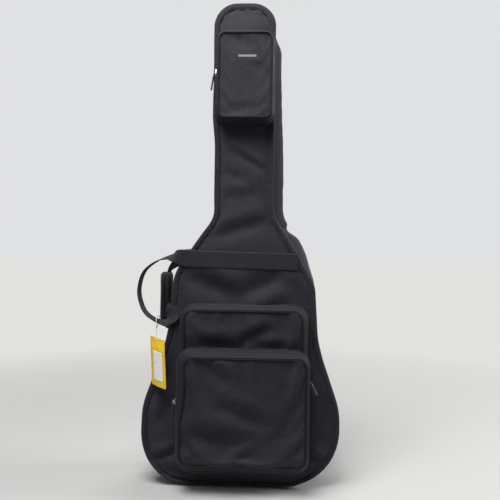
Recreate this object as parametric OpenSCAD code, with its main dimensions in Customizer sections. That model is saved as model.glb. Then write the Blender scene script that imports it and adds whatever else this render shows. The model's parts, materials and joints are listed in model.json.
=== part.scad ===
// Padded gig bag for an acoustic guitar, standing upright on its base.
// X is right, Y is back, Z is up. The origin is on the floor, under the middle of the bag.
// The bag is two padded half shells joined by one zip: a front half (the lid) that
// carries three pockets, and a back half that carries the straps and the rear handle.

/* [Outline] */
// Width over the bindings at the lower bout
lower_bout_w = 444; // [436:2:452]
// Width over the bindings at the upper bout
upper_bout_w = 319; // [314:1:324]
// Width over the bindings along the neck
neck_w = 138; // [134:1:142]
// Height of the outline above the feet of the base guard
bag_height = 1085; // [1080:1:1100]

/* [Shell] */
// Depth of the body from front panel to back panel
bag_depth = 120; // [116:1:126]
// Depth of the front half, from the front panel to the zip
front_depth = 40; // [36:1:44]
// Depth lost at the head, where the back panel slopes forward
head_taper = 32; // [20:1:40]
// Thickness of the outer cloth
cloth_t = 1.5; // [1.2:0.1:1.6]
// Thickness of the panel foam
foam_t = 12; // [8:1:14]
// Thickness of the foam in the side walls
side_foam_t = 6; // [4:0.5:7]
// Width of the bound seam that stands out round each panel
flange_w = 12; // [11:0.5:12.5]

/* [Pockets] */
// How far all three pockets sit to the right of the centre line
pocket_shift = 6; // [0:1:8]
// Width of the head pocket
head_pocket_w = 128; // [122:1:130]
// Width of the two lower pockets
low_pocket_w = 284; // [270:2:288]

/* [Webbing] */
// Width of the handle webbing
webbing_w = 38; // [36:1:40]
// Thickness of the handle webbing
webbing_t = 2.6; // [2:0.1:3]

/* [Hidden] */

$fn = 48;
GAP = 0.2;
FAR = 400;
black = "#202126";
dark_webbing = "#17181b";
charcoal = "#2b2c31";
foam_grey = "#55575c";
lining_grey = "#3b3d42";
metal = "#b9bbbf";
tag_yellow = "#f2cb3b";

// Half shell planes
front_y = -bag_depth / 2;
back_y = bag_depth / 2;
zip_y = front_y + front_depth;
base_z = 1;
taper_z = 610;

// Zip section: coil on the outside edge of the tape
coil_gap = 1.6;
coil_w = 2.4;
coil_inset = flange_w - 2.6;
tape_inset = flange_w - 1.6;
tape_w = 12;
wall_setback = 8;
tape_clear = 0.1;

// Bound seam: the panel's edge lies inside a folded tape
panel_in = 1.3;
binding_leg_t = 1;
binding_edge_t = 1.1;
binding_proud = 1.2;
binding_y = front_y - binding_proud;

// Cross bands, sewn at the waist of the bag
band_z = 513;
band_off = 0.3;

// Insets of the side wall layers from the outer edge of the binding
wall_in = flange_w;
side_foam_in = wall_in + cloth_t + GAP;
lining_t = 1;
side_lining_in = side_foam_in + side_foam_t + 0.1;
inner_in = side_lining_in + lining_t;
panel_core_in = side_foam_in;

// The side of the lower bout is left unzipped: there the lid hinges
hinge_z0 = 85;
hinge_z1 = 195;

/* ---------- Rounded outlines ---------- */

function unit(v) = v / norm(v);
function left_normal(v) = [-v[1], v[0]];
function turned(v, a) = [v[0] * cos(a) - v[1] * sin(a), v[0] * sin(a) + v[1] * cos(a)];
function xy(p) = [p[0], p[1]];

// Points of a counter-clockwise outline whose corners [x, y, radius] are rounded,
// moved inwards by inset. One point is placed for every step_a degrees of turn.
function rounded(corners, inset = 0, step_a = 9) =
    let (n = len(corners))
    [for (i = [0 : n - 1])
        let (
            before = xy(corners[(i + n - 1) % n]),
            here = xy(corners[i]),
            after = xy(corners[(i + 1) % n]),
            d1 = unit(here - before),
            d2 = unit(after - here),
            n1 = left_normal(d1),
            n2 = left_normal(d2),
            a = atan2(d1[0] * d2[1] - d1[1] * d2[0], d1 * d2),
            s = sign(a),
            corner = here + inset * (n1 + n2) / (1 + n1 * n2),
            r = corners[i][2] - s * inset,
            centre = corner - d1 * r * tan(abs(a) / 2) + s * r * n1,
            steps = max(2, ceil(abs(a) / step_a))
        )
        for (k = [0 : steps]) centre - s * r * turned(n1, a * k / steps)
    ];

// Right half of the bag's outline, from the base up: each row is half width, height, radius.
// The neck's edges are upright, so the main sliders run true on their coils.
right_side = [
    [lower_bout_w / 2, base_z, 128],
    [lower_bout_w / 2, 175, 170],
    [upper_bout_w / 2 + 7.5, 333, 110],
    [upper_bout_w / 2, 475, 90],
    [neck_w / 2, 604, 28],
    [neck_w / 2, bag_height, 40]
];
last = len(right_side) - 1;
bag_corners = concat(
    right_side,
    [for (i = [last : -1 : 0]) [-right_side[i][0], right_side[i][1], right_side[i][2]]]
);
function bag_outline(inset) = rounded(bag_corners, inset);

// Corners of a rounded rectangle between two heights, centred on x
function box_corners(x, w, z0, z1, r_low, r_top) = [
    [x + w / 2, z0, r_low], [x + w / 2, z1, r_top], [x - w / 2, z1, r_top], [x - w / 2, z0, r_low]
];

/* ---------- Shared solids ---------- */

// A flat layer in the XZ plane from y0 back to y1
module layer(points, y0, y1) {
    translate([0, y1, 0])
        rotate([90, 0, 0])
            linear_extrude(y1 - y0) polygon(points);
}

// A flat ring between two outlines, from y0 back to y1
module ring(outer, inner, y0, y1) {
    n = len(outer);
    m = len(inner);
    translate([0, y1, 0])
        rotate([90, 0, 0])
            linear_extrude(y1 - y0)
                polygon(concat(outer, inner), [[for (i = [0 : n - 1]) i], [for (i = [0 : m - 1]) n + i]]);
}

module bag_ring(in0, in1, y0, y1) {
    ring(bag_outline(in0), bag_outline(in1), y0, y1);
}

// Everything in front of the sloping back surface, less a depth d, and behind y0
module before_back(y0, d) {
    rotate([90, 0, 90])
        translate([0, 0, -FAR])
            linear_extrude(2 * FAR)
                polygon([
                    [y0, -10], [back_y - d, -10], [back_y - d, taper_z],
                    [back_y - d - head_taper, bag_height], [back_y - d - head_taper, bag_height + 20],
                    [y0, bag_height + 20]
                ]);
}

// A skin that follows the back surface, between the depths d0 and d1 under it
module back_skin(points, d0, d1) {
    intersection() {
        layer(points, front_y, back_y + 10);
        rotate([90, 0, 90])
            translate([0, 0, -FAR])
                linear_extrude(2 * FAR)
                    polygon([
                        [back_y - d1, -10], [back_y - d0, -10], [back_y - d0, taper_z],
                        [back_y - d0 - head_taper, bag_height],
                        [back_y - d0 - head_taper, bag_height + 20],
                        [back_y - d1 - head_taper, bag_height + 20],
                        [back_y - d1 - head_taper, bag_height], [back_y - d1, taper_z]
                    ]);
    }
}

// The stretch at the side of the lower bout where the zip is left out
module hinge_window(spread = 0) {
    translate([lower_bout_w / 2 - 40, zip_y - 30, hinge_z0 - spread])
        cube([60, 60, hinge_z1 - hinge_z0 + 2 * spread]);
}

/* ---------- Back half ---------- */

module back_panel() {
    color(black) back_skin(bag_outline(panel_in), 0, cloth_t);
}

module back_panel_foam() {
    color(foam_grey) back_skin(bag_outline(panel_core_in), cloth_t + GAP, cloth_t + GAP + foam_t);
}

module back_panel_lining() {
    d = cloth_t + 2 * GAP + foam_t;
    color(lining_grey) back_skin(bag_outline(panel_core_in), d, d + lining_t);
}

// Side wall with the seam allowance turned out behind the panel's edge
module back_gusset() {
    color(black) {
        intersection() {
            bag_ring(wall_in, wall_in + cloth_t, zip_y + wall_setback, back_y + 10);
            before_back(front_y, cloth_t + GAP);
        }
        difference() {
            back_skin(bag_outline(panel_in), cloth_t + GAP, 2 * cloth_t + GAP);
            layer(bag_outline(wall_in + cloth_t / 2), front_y, back_y + 20);
        }
    }
}

module back_gusset_foam() {
    color(foam_grey)
        intersection() {
            bag_ring(side_foam_in, side_foam_in + side_foam_t, zip_y + wall_setback + 1.5, back_y);
            before_back(front_y, cloth_t + foam_t + lining_t + 4 * GAP);
        }
}

module back_gusset_lining() {
    color(lining_grey)
        intersection() {
            bag_ring(side_lining_in, inner_in, zip_y + wall_setback + 1.5, back_y);
            before_back(front_y, cloth_t + foam_t + lining_t + 4 * GAP);
        }
}

// Tape folded round the bound seam: two legs and the fold over the edge
module back_binding() {
    seam_d = 2 * cloth_t + 2 * GAP;
    color(dark_webbing)
        difference() {
            intersection() {
                bag_ring(0, flange_w - GAP, front_y, back_y + 10);
                before_back(front_y, -binding_proud);
            }
            before_back(front_y - 5, seam_d + binding_leg_t);
            back_skin(bag_outline(binding_edge_t), -tape_clear, seam_d);
        }
}

module back_zip_tape() {
    color(dark_webbing)
        difference() {
            bag_ring(tape_inset, wall_in - tape_clear, zip_y + coil_gap / 2 + coil_w + tape_clear,
                     zip_y + coil_gap / 2 + coil_w + tape_w);
            hinge_window();
        }
}

module back_zip_coil() {
    color("#101114")
        difference() {
            bag_ring(coil_inset, coil_inset + coil_w, zip_y + coil_gap / 2, zip_y + coil_gap / 2 + coil_w);
            hinge_window();
        }
}

// Cloth strip that joins the two halves at the hinge, sewn to the back half
module zip_hinge_strip() {
    color(black)
        intersection() {
            bag_ring(tape_inset, wall_in - tape_clear, zip_y + coil_gap / 2, zip_y + 22);
            hinge_window(-1.5);
        }
}

// Moulded guard under the base: a plate with three ribs that stand on the floor
module base_guard() {
    guard_w = 160;
    guard_d = 56;
    guard_y = 24;
    plate_top = base_z + wall_in - GAP;
    plate_t = 4;
    rib_d = 10;
    rib_pitch = 22;
    color("#1a1a1c") {
        translate([-guard_w / 2, guard_y - guard_d / 2, plate_top - plate_t])
            cube([guard_w, guard_d, plate_t]);
        for (i = [-1 : 1])
            translate([-guard_w / 2, guard_y + i * rib_pitch - rib_d / 2, 0])
                cube([guard_w, rib_d, plate_top - plate_t / 2]);
    }
}

// Webbing across the shell between the bindings, lying from y0 back to y1
module cross_band(y0, y1) {
    color(dark_webbing)
        intersection() {
            layer(bag_outline(flange_w + 1), y0, y1);
            translate([-FAR, y0, band_z - webbing_w / 2]) cube([2 * FAR, y1 - y0, webbing_w]);
        }
}

module back_band() { cross_band(back_y + band_off, back_y + band_off + webbing_t); }

// Shoulder straps: each pad curves outwards as it comes down
strap_top_z = 600;
strap_low_z = 300;
strap_top_x = 44;
strap_spread = 52;
strap_half_w = 29;
strap_pad_t = 11;
strap_y = back_y + 3.4;
anchor_z = 110;
anchor_x = strap_top_x + strap_spread + 34;
strap_webbing_w = 25;
function strap_x(z) =
    strap_top_x + strap_spread * (1 - cos(90 * (strap_top_z - z) / (strap_top_z - strap_low_z)));

module strap_pad(side) {
    steps = 14;
    top_share = 0.75;
    z_at = function (i) strap_low_z + (strap_top_z - strap_low_z) * i / steps;
    half_at = function (i) strap_half_w * (1 - (1 - top_share) * i / steps);
    right_edge = [for (i = [0 : steps]) [strap_x(z_at(i)) + half_at(i), z_at(i)]];
    left_edge = [for (i = [steps : -1 : 0]) [strap_x(z_at(i)) - half_at(i), z_at(i)]];
    mirror([side < 0 ? 1 : 0, 0, 0])
        layer(concat(right_edge, left_edge), strap_y, strap_y + strap_pad_t);
}

module strap_pad_left() {
    color(charcoal) strap_pad(-1);
}

module strap_pad_right() {
    color(charcoal) strap_pad(1);
}

// Adjusting webbing from each pad's ladder lock down to its anchor
module strap_webbing() {
    lock_z = strap_low_z - 30;
    low_z = anchor_z + 15;
    half = strap_webbing_w / 2;
    x0 = strap_x(strap_low_z);
    color(dark_webbing)
        for (side = [0, 1])
            mirror([side, 0, 0])
                layer([[anchor_x - half, low_z], [anchor_x + half, low_z],
                       [x0 + half, lock_z], [x0 - half, lock_z]], strap_y, strap_y + 2);
}

// Ladder lock buckles: a frame with two slots and a middle bar
module strap_ladder_locks() {
    frame_size = [40, 5, 27];
    slot_size = [28, 9, 6];
    slot_off = 6.5;
    color("#141416")
        for (side = [0, 1])
            mirror([side, 0, 0])
                translate([strap_x(strap_low_z), strap_y + 5, strap_low_z - 15])
                    difference() {
                        cube(frame_size, center = true);
                        for (k = [-1, 1])
                            translate([0, 0, k * slot_off]) cube(slot_size, center = true);
                    }
}

// Yoke patch under the top of both straps, between the bindings, and a patch under each lower anchor
module strap_anchor_patches() {
    yoke_w = 114;
    yoke_h = 55;
    anchor_w = 54;
    anchor_h = 44;
    y0 = back_y + GAP;
    y1 = y0 + 2.6;
    color(charcoal) {
        layer(rounded(box_corners(0, yoke_w, strap_top_z - yoke_h, strap_top_z, 14, 14)), y0, y1);
        for (side = [-1, 1])
            layer(rounded(box_corners(side * anchor_x, anchor_w, anchor_z - anchor_h / 2,
                                      anchor_z + anchor_h / 2, 8, 8)), y0, y1);
    }
}

// Webbing loop behind the head for hanging the bag; it leans with the sloping back
module hang_loop() {
    loop_w = 25;
    loop_d = 14;
    loop_h = 46;
    loop_z = 1015;
    loop_t = 1.8;
    sewn_h = 5;
    slope = atan2(head_taper, bag_height - taper_z);
    surface_y = back_y - head_taper * (loop_z - taper_z) / (bag_height - taper_z);
    color(dark_webbing)
        translate([0, surface_y + GAP, loop_z])
            rotate([slope, 0, 0])
                difference() {
                    translate([-loop_w / 2, 0, 0]) cube([loop_w, loop_d, loop_h]);
                    translate([-loop_w, loop_t, sewn_h])
                        cube([2 * loop_w, loop_d - 2 * loop_t, loop_h - 2 * sewn_h]);
                }
}

/* ---------- Front half ---------- */

module front_panel() {
    color(black) layer(bag_outline(panel_in), front_y, front_y + cloth_t);
}

module front_panel_foam() {
    y = front_y + cloth_t + GAP;
    color(foam_grey) layer(bag_outline(panel_core_in), y, y + foam_t);
}

module front_panel_lining() {
    y = front_y + cloth_t + 2 * GAP + foam_t;
    color(lining_grey) layer(bag_outline(panel_core_in), y, y + lining_t);
}

module front_gusset() {
    y = front_y + cloth_t + GAP;
    color(black) {
        bag_ring(wall_in, wall_in + cloth_t, y, zip_y - wall_setback);
        bag_ring(panel_in, wall_in + cloth_t / 2, y, y + cloth_t);
    }
}

side_layer_y = front_y + cloth_t + foam_t + lining_t + 4 * GAP;

module front_gusset_foam() {
    color(foam_grey)
        bag_ring(side_foam_in, side_foam_in + side_foam_t, side_layer_y, zip_y - wall_setback - 1.5);
}

module front_gusset_lining() {
    color(lining_grey)
        bag_ring(side_lining_in, inner_in, side_layer_y, zip_y - wall_setback - 1.5);
}

module front_binding() {
    seam_y = front_y + 2 * cloth_t + 2 * GAP;
    color(dark_webbing) {
        bag_ring(0, flange_w - GAP, binding_y, front_y - tape_clear);
        bag_ring(0, binding_edge_t, binding_y, seam_y + binding_leg_t);
        bag_ring(0, flange_w - GAP, seam_y, seam_y + binding_leg_t);
    }
}

module front_zip_tape() {
    color(dark_webbing)
        difference() {
            bag_ring(tape_inset, wall_in - tape_clear, zip_y - coil_gap / 2 - coil_w - tape_w,
                     zip_y - coil_gap / 2 - coil_w - tape_clear);
            hinge_window();
        }
}

module front_zip_coil() {
    color("#101114")
        difference() {
            bag_ring(coil_inset, coil_inset + coil_w, zip_y - coil_gap / 2 - coil_w, zip_y - coil_gap / 2);
            hinge_window();
        }
}

module front_band() { cross_band(front_y - band_off - webbing_t, front_y - band_off); }

/* ---------- Pockets ---------- */

// Each pocket row: centre x, width, bottom, top, lower and upper corner radius,
// y of the panel it is sewn to, y of its zip, y of its face, height of its fold line
// The head pocket is as wide as the neck, so it is sewn on over the bindings.
head_pocket = [pocket_shift / 2, head_pocket_w, 814, 1012, 16, 20, binding_y - GAP, -82, -97, 913];
large_pocket = [pocket_shift, low_pocket_w, 42, 410, 30, 30, front_y - band_off, -75, -90, 326];
small_pocket = [pocket_shift, low_pocket_w + 4, 38, 313, 30, 30, -90.4, -106, -124, 190];
pocket_wall = 1.6;
pocket_wall_in = 2;
pocket_coil_in = 0.4;
pocket_coil_d = 3;
pocket_coil_gap = 0.8;
pocket_wall_off = 4;
piping_w = 3;
fold_gap = 0.25;
pocket_reach = 600;

function pocket_outline(p, inset) =
    rounded(box_corners(p[0], p[1], p[2], p[3], p[4], p[5]), inset, 12);

// The part of the pocket above (1) or below (-1) its fold line
module pocket_side(p, part) {
    z = part > 0 ? p[9] + fold_gap : p[9] - fold_gap - pocket_reach;
    intersection() {
        children();
        translate([-FAR, -FAR, z]) cube([2 * FAR, 2 * FAR, pocket_reach]);
    }
}

// Rear wall of the pocket, from the panel to the zip
module pocket_gusset(p) {
    color(black)
        ring(pocket_outline(p, pocket_wall_in), pocket_outline(p, pocket_wall_in + pocket_wall),
             p[7] + pocket_wall_off, p[6]);
}

// Coil half on the gusset side of the zip
module pocket_zip(p) {
    color("#101114")
        ring(pocket_outline(p, pocket_coil_in), pocket_outline(p, piping_w),
             p[7] + pocket_coil_gap, p[7] + pocket_coil_gap + pocket_coil_d);
}

// Coil half on the face side of the zip
module pocket_flap_zip(p) {
    color("#101114")
        pocket_side(p, 1)
            ring(pocket_outline(p, pocket_coil_in), pocket_outline(p, piping_w),
                 p[7] - pocket_coil_gap - pocket_coil_d, p[7] - pocket_coil_gap);
}

// Face panel with its piped edge and its short front wall
module pocket_front(p) {
    layer(pocket_outline(p, 0), p[8], p[8] + pocket_wall);
    ring(pocket_outline(p, 0), pocket_outline(p, piping_w), p[8], p[8] + piping_w);
    ring(pocket_outline(p, pocket_wall_in), pocket_outline(p, pocket_wall_in + pocket_wall),
         p[8], p[7] - pocket_wall_off);
}

// Below the fold the face, its wall and its coil half stay closed
module pocket_face(p) {
    color(black)
        pocket_side(p, -1) {
            union() {
                pocket_front(p);
                ring(pocket_outline(p, pocket_coil_in), pocket_outline(p, pocket_wall_in + pocket_wall),
                     p[7] - pocket_wall_off - 0.5, p[7] - pocket_coil_gap);
            }
        }
}

module pocket_flap(p) {
    color(black) pocket_side(p, 1) pocket_front(p);
}

module head_pocket_gusset() { pocket_gusset(head_pocket); }
module head_pocket_face() { pocket_face(head_pocket); }
module head_pocket_zip() { pocket_zip(head_pocket); }
module head_pocket_flap() { pocket_flap(head_pocket); }
module head_pocket_flap_zip() { pocket_flap_zip(head_pocket); }
module large_pocket_gusset() { pocket_gusset(large_pocket); }
module large_pocket_face() { pocket_face(large_pocket); }
module large_pocket_zip() { pocket_zip(large_pocket); }
module large_pocket_flap() { pocket_flap(large_pocket); }
module large_pocket_flap_zip() { pocket_flap_zip(large_pocket); }
module small_pocket_gusset() { pocket_gusset(small_pocket); }
module small_pocket_face() { pocket_face(small_pocket); }
module small_pocket_zip() { pocket_zip(small_pocket); }
module small_pocket_flap() { pocket_flap(small_pocket); }
module small_pocket_flap_zip() { pocket_flap_zip(small_pocket); }

// Plain rubber patch on the head pocket's flap
module head_pocket_patch() {
    color("#3a3b3e")
        layer(rounded(box_corners(head_pocket[0], 60, 947, 962, 3, 3)), head_pocket[8] - 1.4,
              head_pocket[8] - tape_clear);
}

/* ---------- Zip sliders and pulls ---------- */

// Local axes of a slider: +X away from the bag's side, Y across the zip, Z along it,
// with the outer face of the coils at x = 0 and the middle of the zip at y = 0
bar_x = 5.2;
bar_r = 0.9;
eye_clear = 0.35;
slider_clear = 0.3;
plate_t = 1.7;
post_t = 1.1;
bridge_w = 6;
bridge_t = 1.2;

// Cover plate, post and bridge with its bar for the pull
module slider_body(cheek) {
    plate = [[-4, -7], [4, -7], [5.5, 2], [5.5, 6], [3, 8], [-3, 8], [-5.5, 6], [-5.5, 2]];
    color(metal) {
        translate([slider_clear + plate_t, 0, 0])
            rotate([0, -90, 0])
                rotate([0, 0, 90])
                    mirror([1, 0, 0]) linear_extrude(plate_t) polygon(plate);
        translate([-coil_w - slider_clear, -post_t / 2, 2])
            cube([coil_w + slider_clear + plate_t / 2, post_t, 4]);
        if (cheek)
            translate([-coil_w - 1.6, -5, -6]) cube([1.6 - slider_clear, 10, 13]);
        for (side = [-1, 1])
            translate([plate_t, side * (bridge_w / 2 - 0.1) - bridge_t / 2, -2]) cube([4.6, bridge_t, 4]);
        translate([bar_x, bridge_w / 2, 0]) rotate([90, 0, 0]) cylinder(r = bar_r, h = bridge_w);
    }
}

// Eye round the bar, and a flat tab hanging from it
module slider_pull(tab_w, tab_h, shade) {
    eye_r = 2.6;
    eye_w = 3.2;
    tab_t = 1.6;
    color(shade)
        difference() {
            union() {
                translate([bar_x, eye_w / 2, 0]) rotate([90, 0, 0]) cylinder(r = eye_r, h = eye_w);
                translate([bar_x - tab_t / 2, -eye_w / 2, -5]) cube([tab_t, eye_w, 4.5]);
                translate([bar_x - tab_t / 2, 0, 0])
                    rotate([90, 0, 90])
                        linear_extrude(tab_t)
                            polygon(rounded(box_corners(0, tab_w, -5 - tab_h, -4, 2, 1.5)));
            }
            translate([bar_x, bridge_w / 2, 0])
                rotate([90, 0, 0]) cylinder(r = bar_r + eye_clear, h = bridge_w);
        }
}

// Places a slider on a side wall: side 1 is the right side, -1 the left
module on_side(side, x, y, z) {
    mirror([side < 0 ? 1 : 0, 0, 0])
        translate([x, y, z]) children();
}

neck_coil_x = neck_w / 2 - coil_inset;
upper_slider_z = 742;
lower_slider_z = 722;

module on_neck(z) { on_side(-1, neck_coil_x, zip_y, z) children(); }
module upper_main_slider() { on_neck(upper_slider_z) slider_body(true); }
module upper_main_pull() { on_neck(upper_slider_z) slider_pull(6, 8, metal); }
module lower_main_slider() { on_neck(lower_slider_z) mirror([0, 0, 1]) slider_body(true); }
module lower_main_pull() { on_neck(lower_slider_z) slider_pull(9, 26, metal); }

// Each row: side, distance of the coil's outer face from the centre plane, y of the zip, height
head_slider_at = [-1, head_pocket[1] / 2 - head_pocket[0] - pocket_coil_in, head_pocket[7], 922];
large_slider_at = [1, large_pocket[1] / 2 + large_pocket[0] - pocket_coil_in, large_pocket[7], 244];
small_slider_at = [-1, small_pocket[1] / 2 - small_pocket[0] - pocket_coil_in, small_pocket[7], 202];

module at_slider(s) { on_side(s[0], s[1], s[2], s[3]) children(); }
module head_slider() { at_slider(head_slider_at) slider_body(false); }
module head_pull() { at_slider(head_slider_at) slider_pull(8, 34, dark_webbing); }
module large_slider() { at_slider(large_slider_at) slider_body(false); }
module large_pull() { at_slider(large_slider_at) slider_pull(9, 30, "#6d7280"); }
module small_slider() { at_slider(small_slider_at) slider_body(false); }
module small_pull() { at_slider(small_slider_at) slider_pull(8, 34, dark_webbing); }

/* ---------- Handles ---------- */

// Front loop: half round, in line with the front panel's left edge
front_loop_r = 75;
front_loop_c = [-160, 439.5];
front_loop_y = -64;
// Rear loop: flat arc that lies along the back half's left side
rear_loop_r = 184;
rear_loop_c = [-2, 420];
rear_loop_y = 12;

// Webbing bent to an arc of radius r in the XZ plane, with its width along Y
module webbing_arc(r, a0, a1, t, w) {
    rotate([90, 0, 0])
        translate([0, 0, -w])
            rotate([0, 0, a0])
                rotate_extrude(angle = a1 - a0, $fn = 96)
                    translate([r - t / 2, 0]) square([t, w]);
}

module front_handle() {
    color(dark_webbing)
        translate([front_loop_c[0], front_loop_y, front_loop_c[1]])
            webbing_arc(front_loop_r, 94, 262, webbing_t, webbing_w);
}

module rear_handle() {
    color(dark_webbing)
        translate([rear_loop_c[0], rear_loop_y, rear_loop_c[1]])
            webbing_arc(rear_loop_r, 157.5, 202.5, webbing_t, webbing_w);
}

// Padded wrap closed round the rear loop
module handle_wrap() {
    wrap_h = 118;
    mid_z = 417;
    inner_x = -172;
    outer_x = -200;
    pad_y0 = rear_loop_y - 4;
    pad_y1 = rear_loop_y + 42;
    clear = 0.3;
    color(charcoal)
        difference() {
            translate([0, 0, mid_z - wrap_h / 2])
                linear_extrude(wrap_h)
                    polygon(rounded([[inner_x, pad_y0, 8], [inner_x, pad_y1, 8],
                                     [outer_x, pad_y1, 10], [outer_x, pad_y0, 10]]));
            translate([rear_loop_c[0], rear_loop_y - clear, rear_loop_c[1]])
                webbing_arc(rear_loop_r, 150, 210, webbing_t + 2 * clear, webbing_w + 2 * clear);
        }
}

/* ---------- Hang tag ---------- */

tag_x = -191;
tag_z = 371;
card_turn = -35;
card_at = [tag_x + 3, -77, 0];
card_top = 334;
card_t = 0.8;
// Where the cord's plane crosses the card, along the card's width
cord_cross = (tag_x - card_at[0]) / cos(card_turn);

// Thin cord round the webbing and down through the hole in the card
module tag_cord() {
    cord = 1.6;
    outer = [[-79.5, tag_z - 43, 3], [-70, tag_z - 43, 3], [-22, tag_z - 14, 4], [-22, tag_z + 8, 4],
             [-68, tag_z + 8, 4]];
    color("#e9e9e6")
        translate([tag_x - cord / 2, 0, 0])
            rotate([90, 0, 90])
                linear_extrude(cord)
                    difference() {
                        polygon(rounded(outer, 0, 20));
                        polygon(rounded(outer, cord, 20));
                    }
}

module tag_card() {
    card_w = 44;
    card_h = 108;
    hole_r = 3.4;
    color(tag_yellow)
        translate(card_at)
            rotate([0, 0, card_turn])
                difference() {
                    layer(rounded(box_corners(0, card_w, card_top - card_h, card_top, 4, 4)),
                          -card_t / 2, card_t / 2);
                    translate([cord_cross, 5, card_top - 2 - hole_r])
                        rotate([90, 0, 0]) cylinder(r = hole_r, h = 10);
                }
}

module tag_sticker() {
    color("white")
        translate(card_at)
            rotate([0, 0, card_turn])
                layer(rounded(box_corners(2, 26, 240, 304, 2, 2)), -card_t, -card_t / 2 - tape_clear);
}

back_panel();
back_panel_foam();
back_panel_lining();
back_gusset();
back_gusset_foam();
back_gusset_lining();
back_binding();
back_zip_tape();
back_zip_coil();
zip_hinge_strip();
base_guard();
back_band();
strap_pad_left();
strap_pad_right();
strap_webbing();
strap_ladder_locks();
strap_anchor_patches();
hang_loop();
front_panel();
front_panel_foam();
front_panel_lining();
front_gusset();
front_gusset_foam();
front_gusset_lining();
front_binding();
front_zip_tape();
front_zip_coil();
front_band();
head_pocket_gusset();
head_pocket_face();
head_pocket_zip();
head_pocket_flap();
head_pocket_flap_zip();
head_pocket_patch();
large_pocket_gusset();
large_pocket_face();
large_pocket_zip();
large_pocket_flap();
large_pocket_flap_zip();
small_pocket_gusset();
small_pocket_face();
small_pocket_zip();
small_pocket_flap();
small_pocket_flap_zip();
upper_main_slider();
upper_main_pull();
lower_main_slider();
lower_main_pull();
head_slider();
head_pull();
large_slider();
large_pull();
small_slider();
small_pull();
front_handle();
rear_handle();
handle_wrap();
tag_cord();
tag_card();
tag_sticker();
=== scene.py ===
"""Padded gig bag: cloth, zips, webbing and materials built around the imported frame."""
import bpy
import json
import math
import numpy as np
from mathutils import Matrix, Vector, noise


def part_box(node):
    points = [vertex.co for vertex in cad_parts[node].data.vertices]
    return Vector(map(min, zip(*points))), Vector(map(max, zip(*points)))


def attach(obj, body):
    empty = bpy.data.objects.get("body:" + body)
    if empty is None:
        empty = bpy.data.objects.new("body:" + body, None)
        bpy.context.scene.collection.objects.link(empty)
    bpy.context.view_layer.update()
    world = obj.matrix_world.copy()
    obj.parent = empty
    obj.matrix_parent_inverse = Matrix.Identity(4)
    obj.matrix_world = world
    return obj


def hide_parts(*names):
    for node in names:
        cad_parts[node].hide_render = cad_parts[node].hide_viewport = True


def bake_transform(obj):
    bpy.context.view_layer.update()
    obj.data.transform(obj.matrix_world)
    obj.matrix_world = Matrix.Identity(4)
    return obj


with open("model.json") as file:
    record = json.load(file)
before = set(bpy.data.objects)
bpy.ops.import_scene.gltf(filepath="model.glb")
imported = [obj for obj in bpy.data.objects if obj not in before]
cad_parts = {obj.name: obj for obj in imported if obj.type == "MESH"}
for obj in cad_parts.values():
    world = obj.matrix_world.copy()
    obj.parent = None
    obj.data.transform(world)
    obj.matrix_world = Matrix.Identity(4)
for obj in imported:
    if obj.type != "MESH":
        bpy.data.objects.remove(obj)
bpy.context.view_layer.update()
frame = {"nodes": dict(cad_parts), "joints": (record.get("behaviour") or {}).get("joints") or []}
NODES = frame["nodes"]
JOINTS = {j["name"]: j for j in frame["joints"]}
MM = 0.001

# ---------------------------------------------------------------- driving sizes, from the frame
rim_lo, rim_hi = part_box("front_binding")
HALF_LOWER = (rim_hi.x - rim_lo.x) / 2
BASE_Z, TOP_Z = rim_lo.z, rim_hi.z
FRONT_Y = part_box("front_panel")[0].y
BACK_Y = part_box("back_panel")[1].y
HEAD_BACK_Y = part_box("back_panel")[0].y + 1.5 * MM
ZIP_Y = JOINTS["lid_hinge"]["pos_m"][1]
TAPER_Z = 0.610
FLANGE = 12 * MM
WALL_IN = 12 * MM
LINING_IN = 21 * MM
PAD = 15 * MM
HALF_UPPER = 0.1595
HALF_NECK = 0.069


# ---------------------------------------------------------------- small helpers
def smooth(a, b, v):
    """0 below a, 1 above b, smooth between."""
    t = np.clip((np.asarray(v, float) - a) / (b - a), 0, 1)
    return t * t * (3 - 2 * t)


def bump(v, centre, width):
    return np.exp(-((np.asarray(v, float) - centre) / width) ** 2)


def cloud(points, scale, seed=0.0):
    """Smooth noise in -1..1 at each point, for features about 1 / scale metres across."""
    off = Vector((seed * 13.1, seed * 7.7, seed * 3.3))
    return np.array([noise.noise(Vector(p) * scale + off) for p in np.asarray(points, float)])


def rounded(corners, inset=0.0, step=math.radians(6)):
    """Counter-clockwise outline through corners (x, z, radius) with round corners, moved in by inset."""
    out = []
    n = len(corners)
    for i in range(n):
        before = np.array(corners[i - 1][:2])
        here = np.array(corners[i][:2])
        after = np.array(corners[(i + 1) % n][:2])
        d1 = (here - before) / np.linalg.norm(here - before)
        d2 = (after - here) / np.linalg.norm(after - here)
        n1 = np.array((-d1[1], d1[0]))
        n2 = np.array((-d2[1], d2[0]))
        a = math.atan2(d1[0] * d2[1] - d1[1] * d2[0], float(d1 @ d2))
        s = math.copysign(1, a)
        corner = here + inset * (n1 + n2) / (1 + n1 @ n2)
        r = corners[i][2] - s * inset
        centre = corner - d1 * r * math.tan(abs(a) / 2) + s * r * n1
        steps = max(2, math.ceil(abs(a) / step))
        for k in range(steps + 1):
            t = a * k / steps
            turned = np.array((n1[0] * math.cos(t) - n1[1] * math.sin(t),
                               n1[0] * math.sin(t) + n1[1] * math.cos(t)))
            out.append(centre - s * r * turned)
    return np.array(out)


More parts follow.
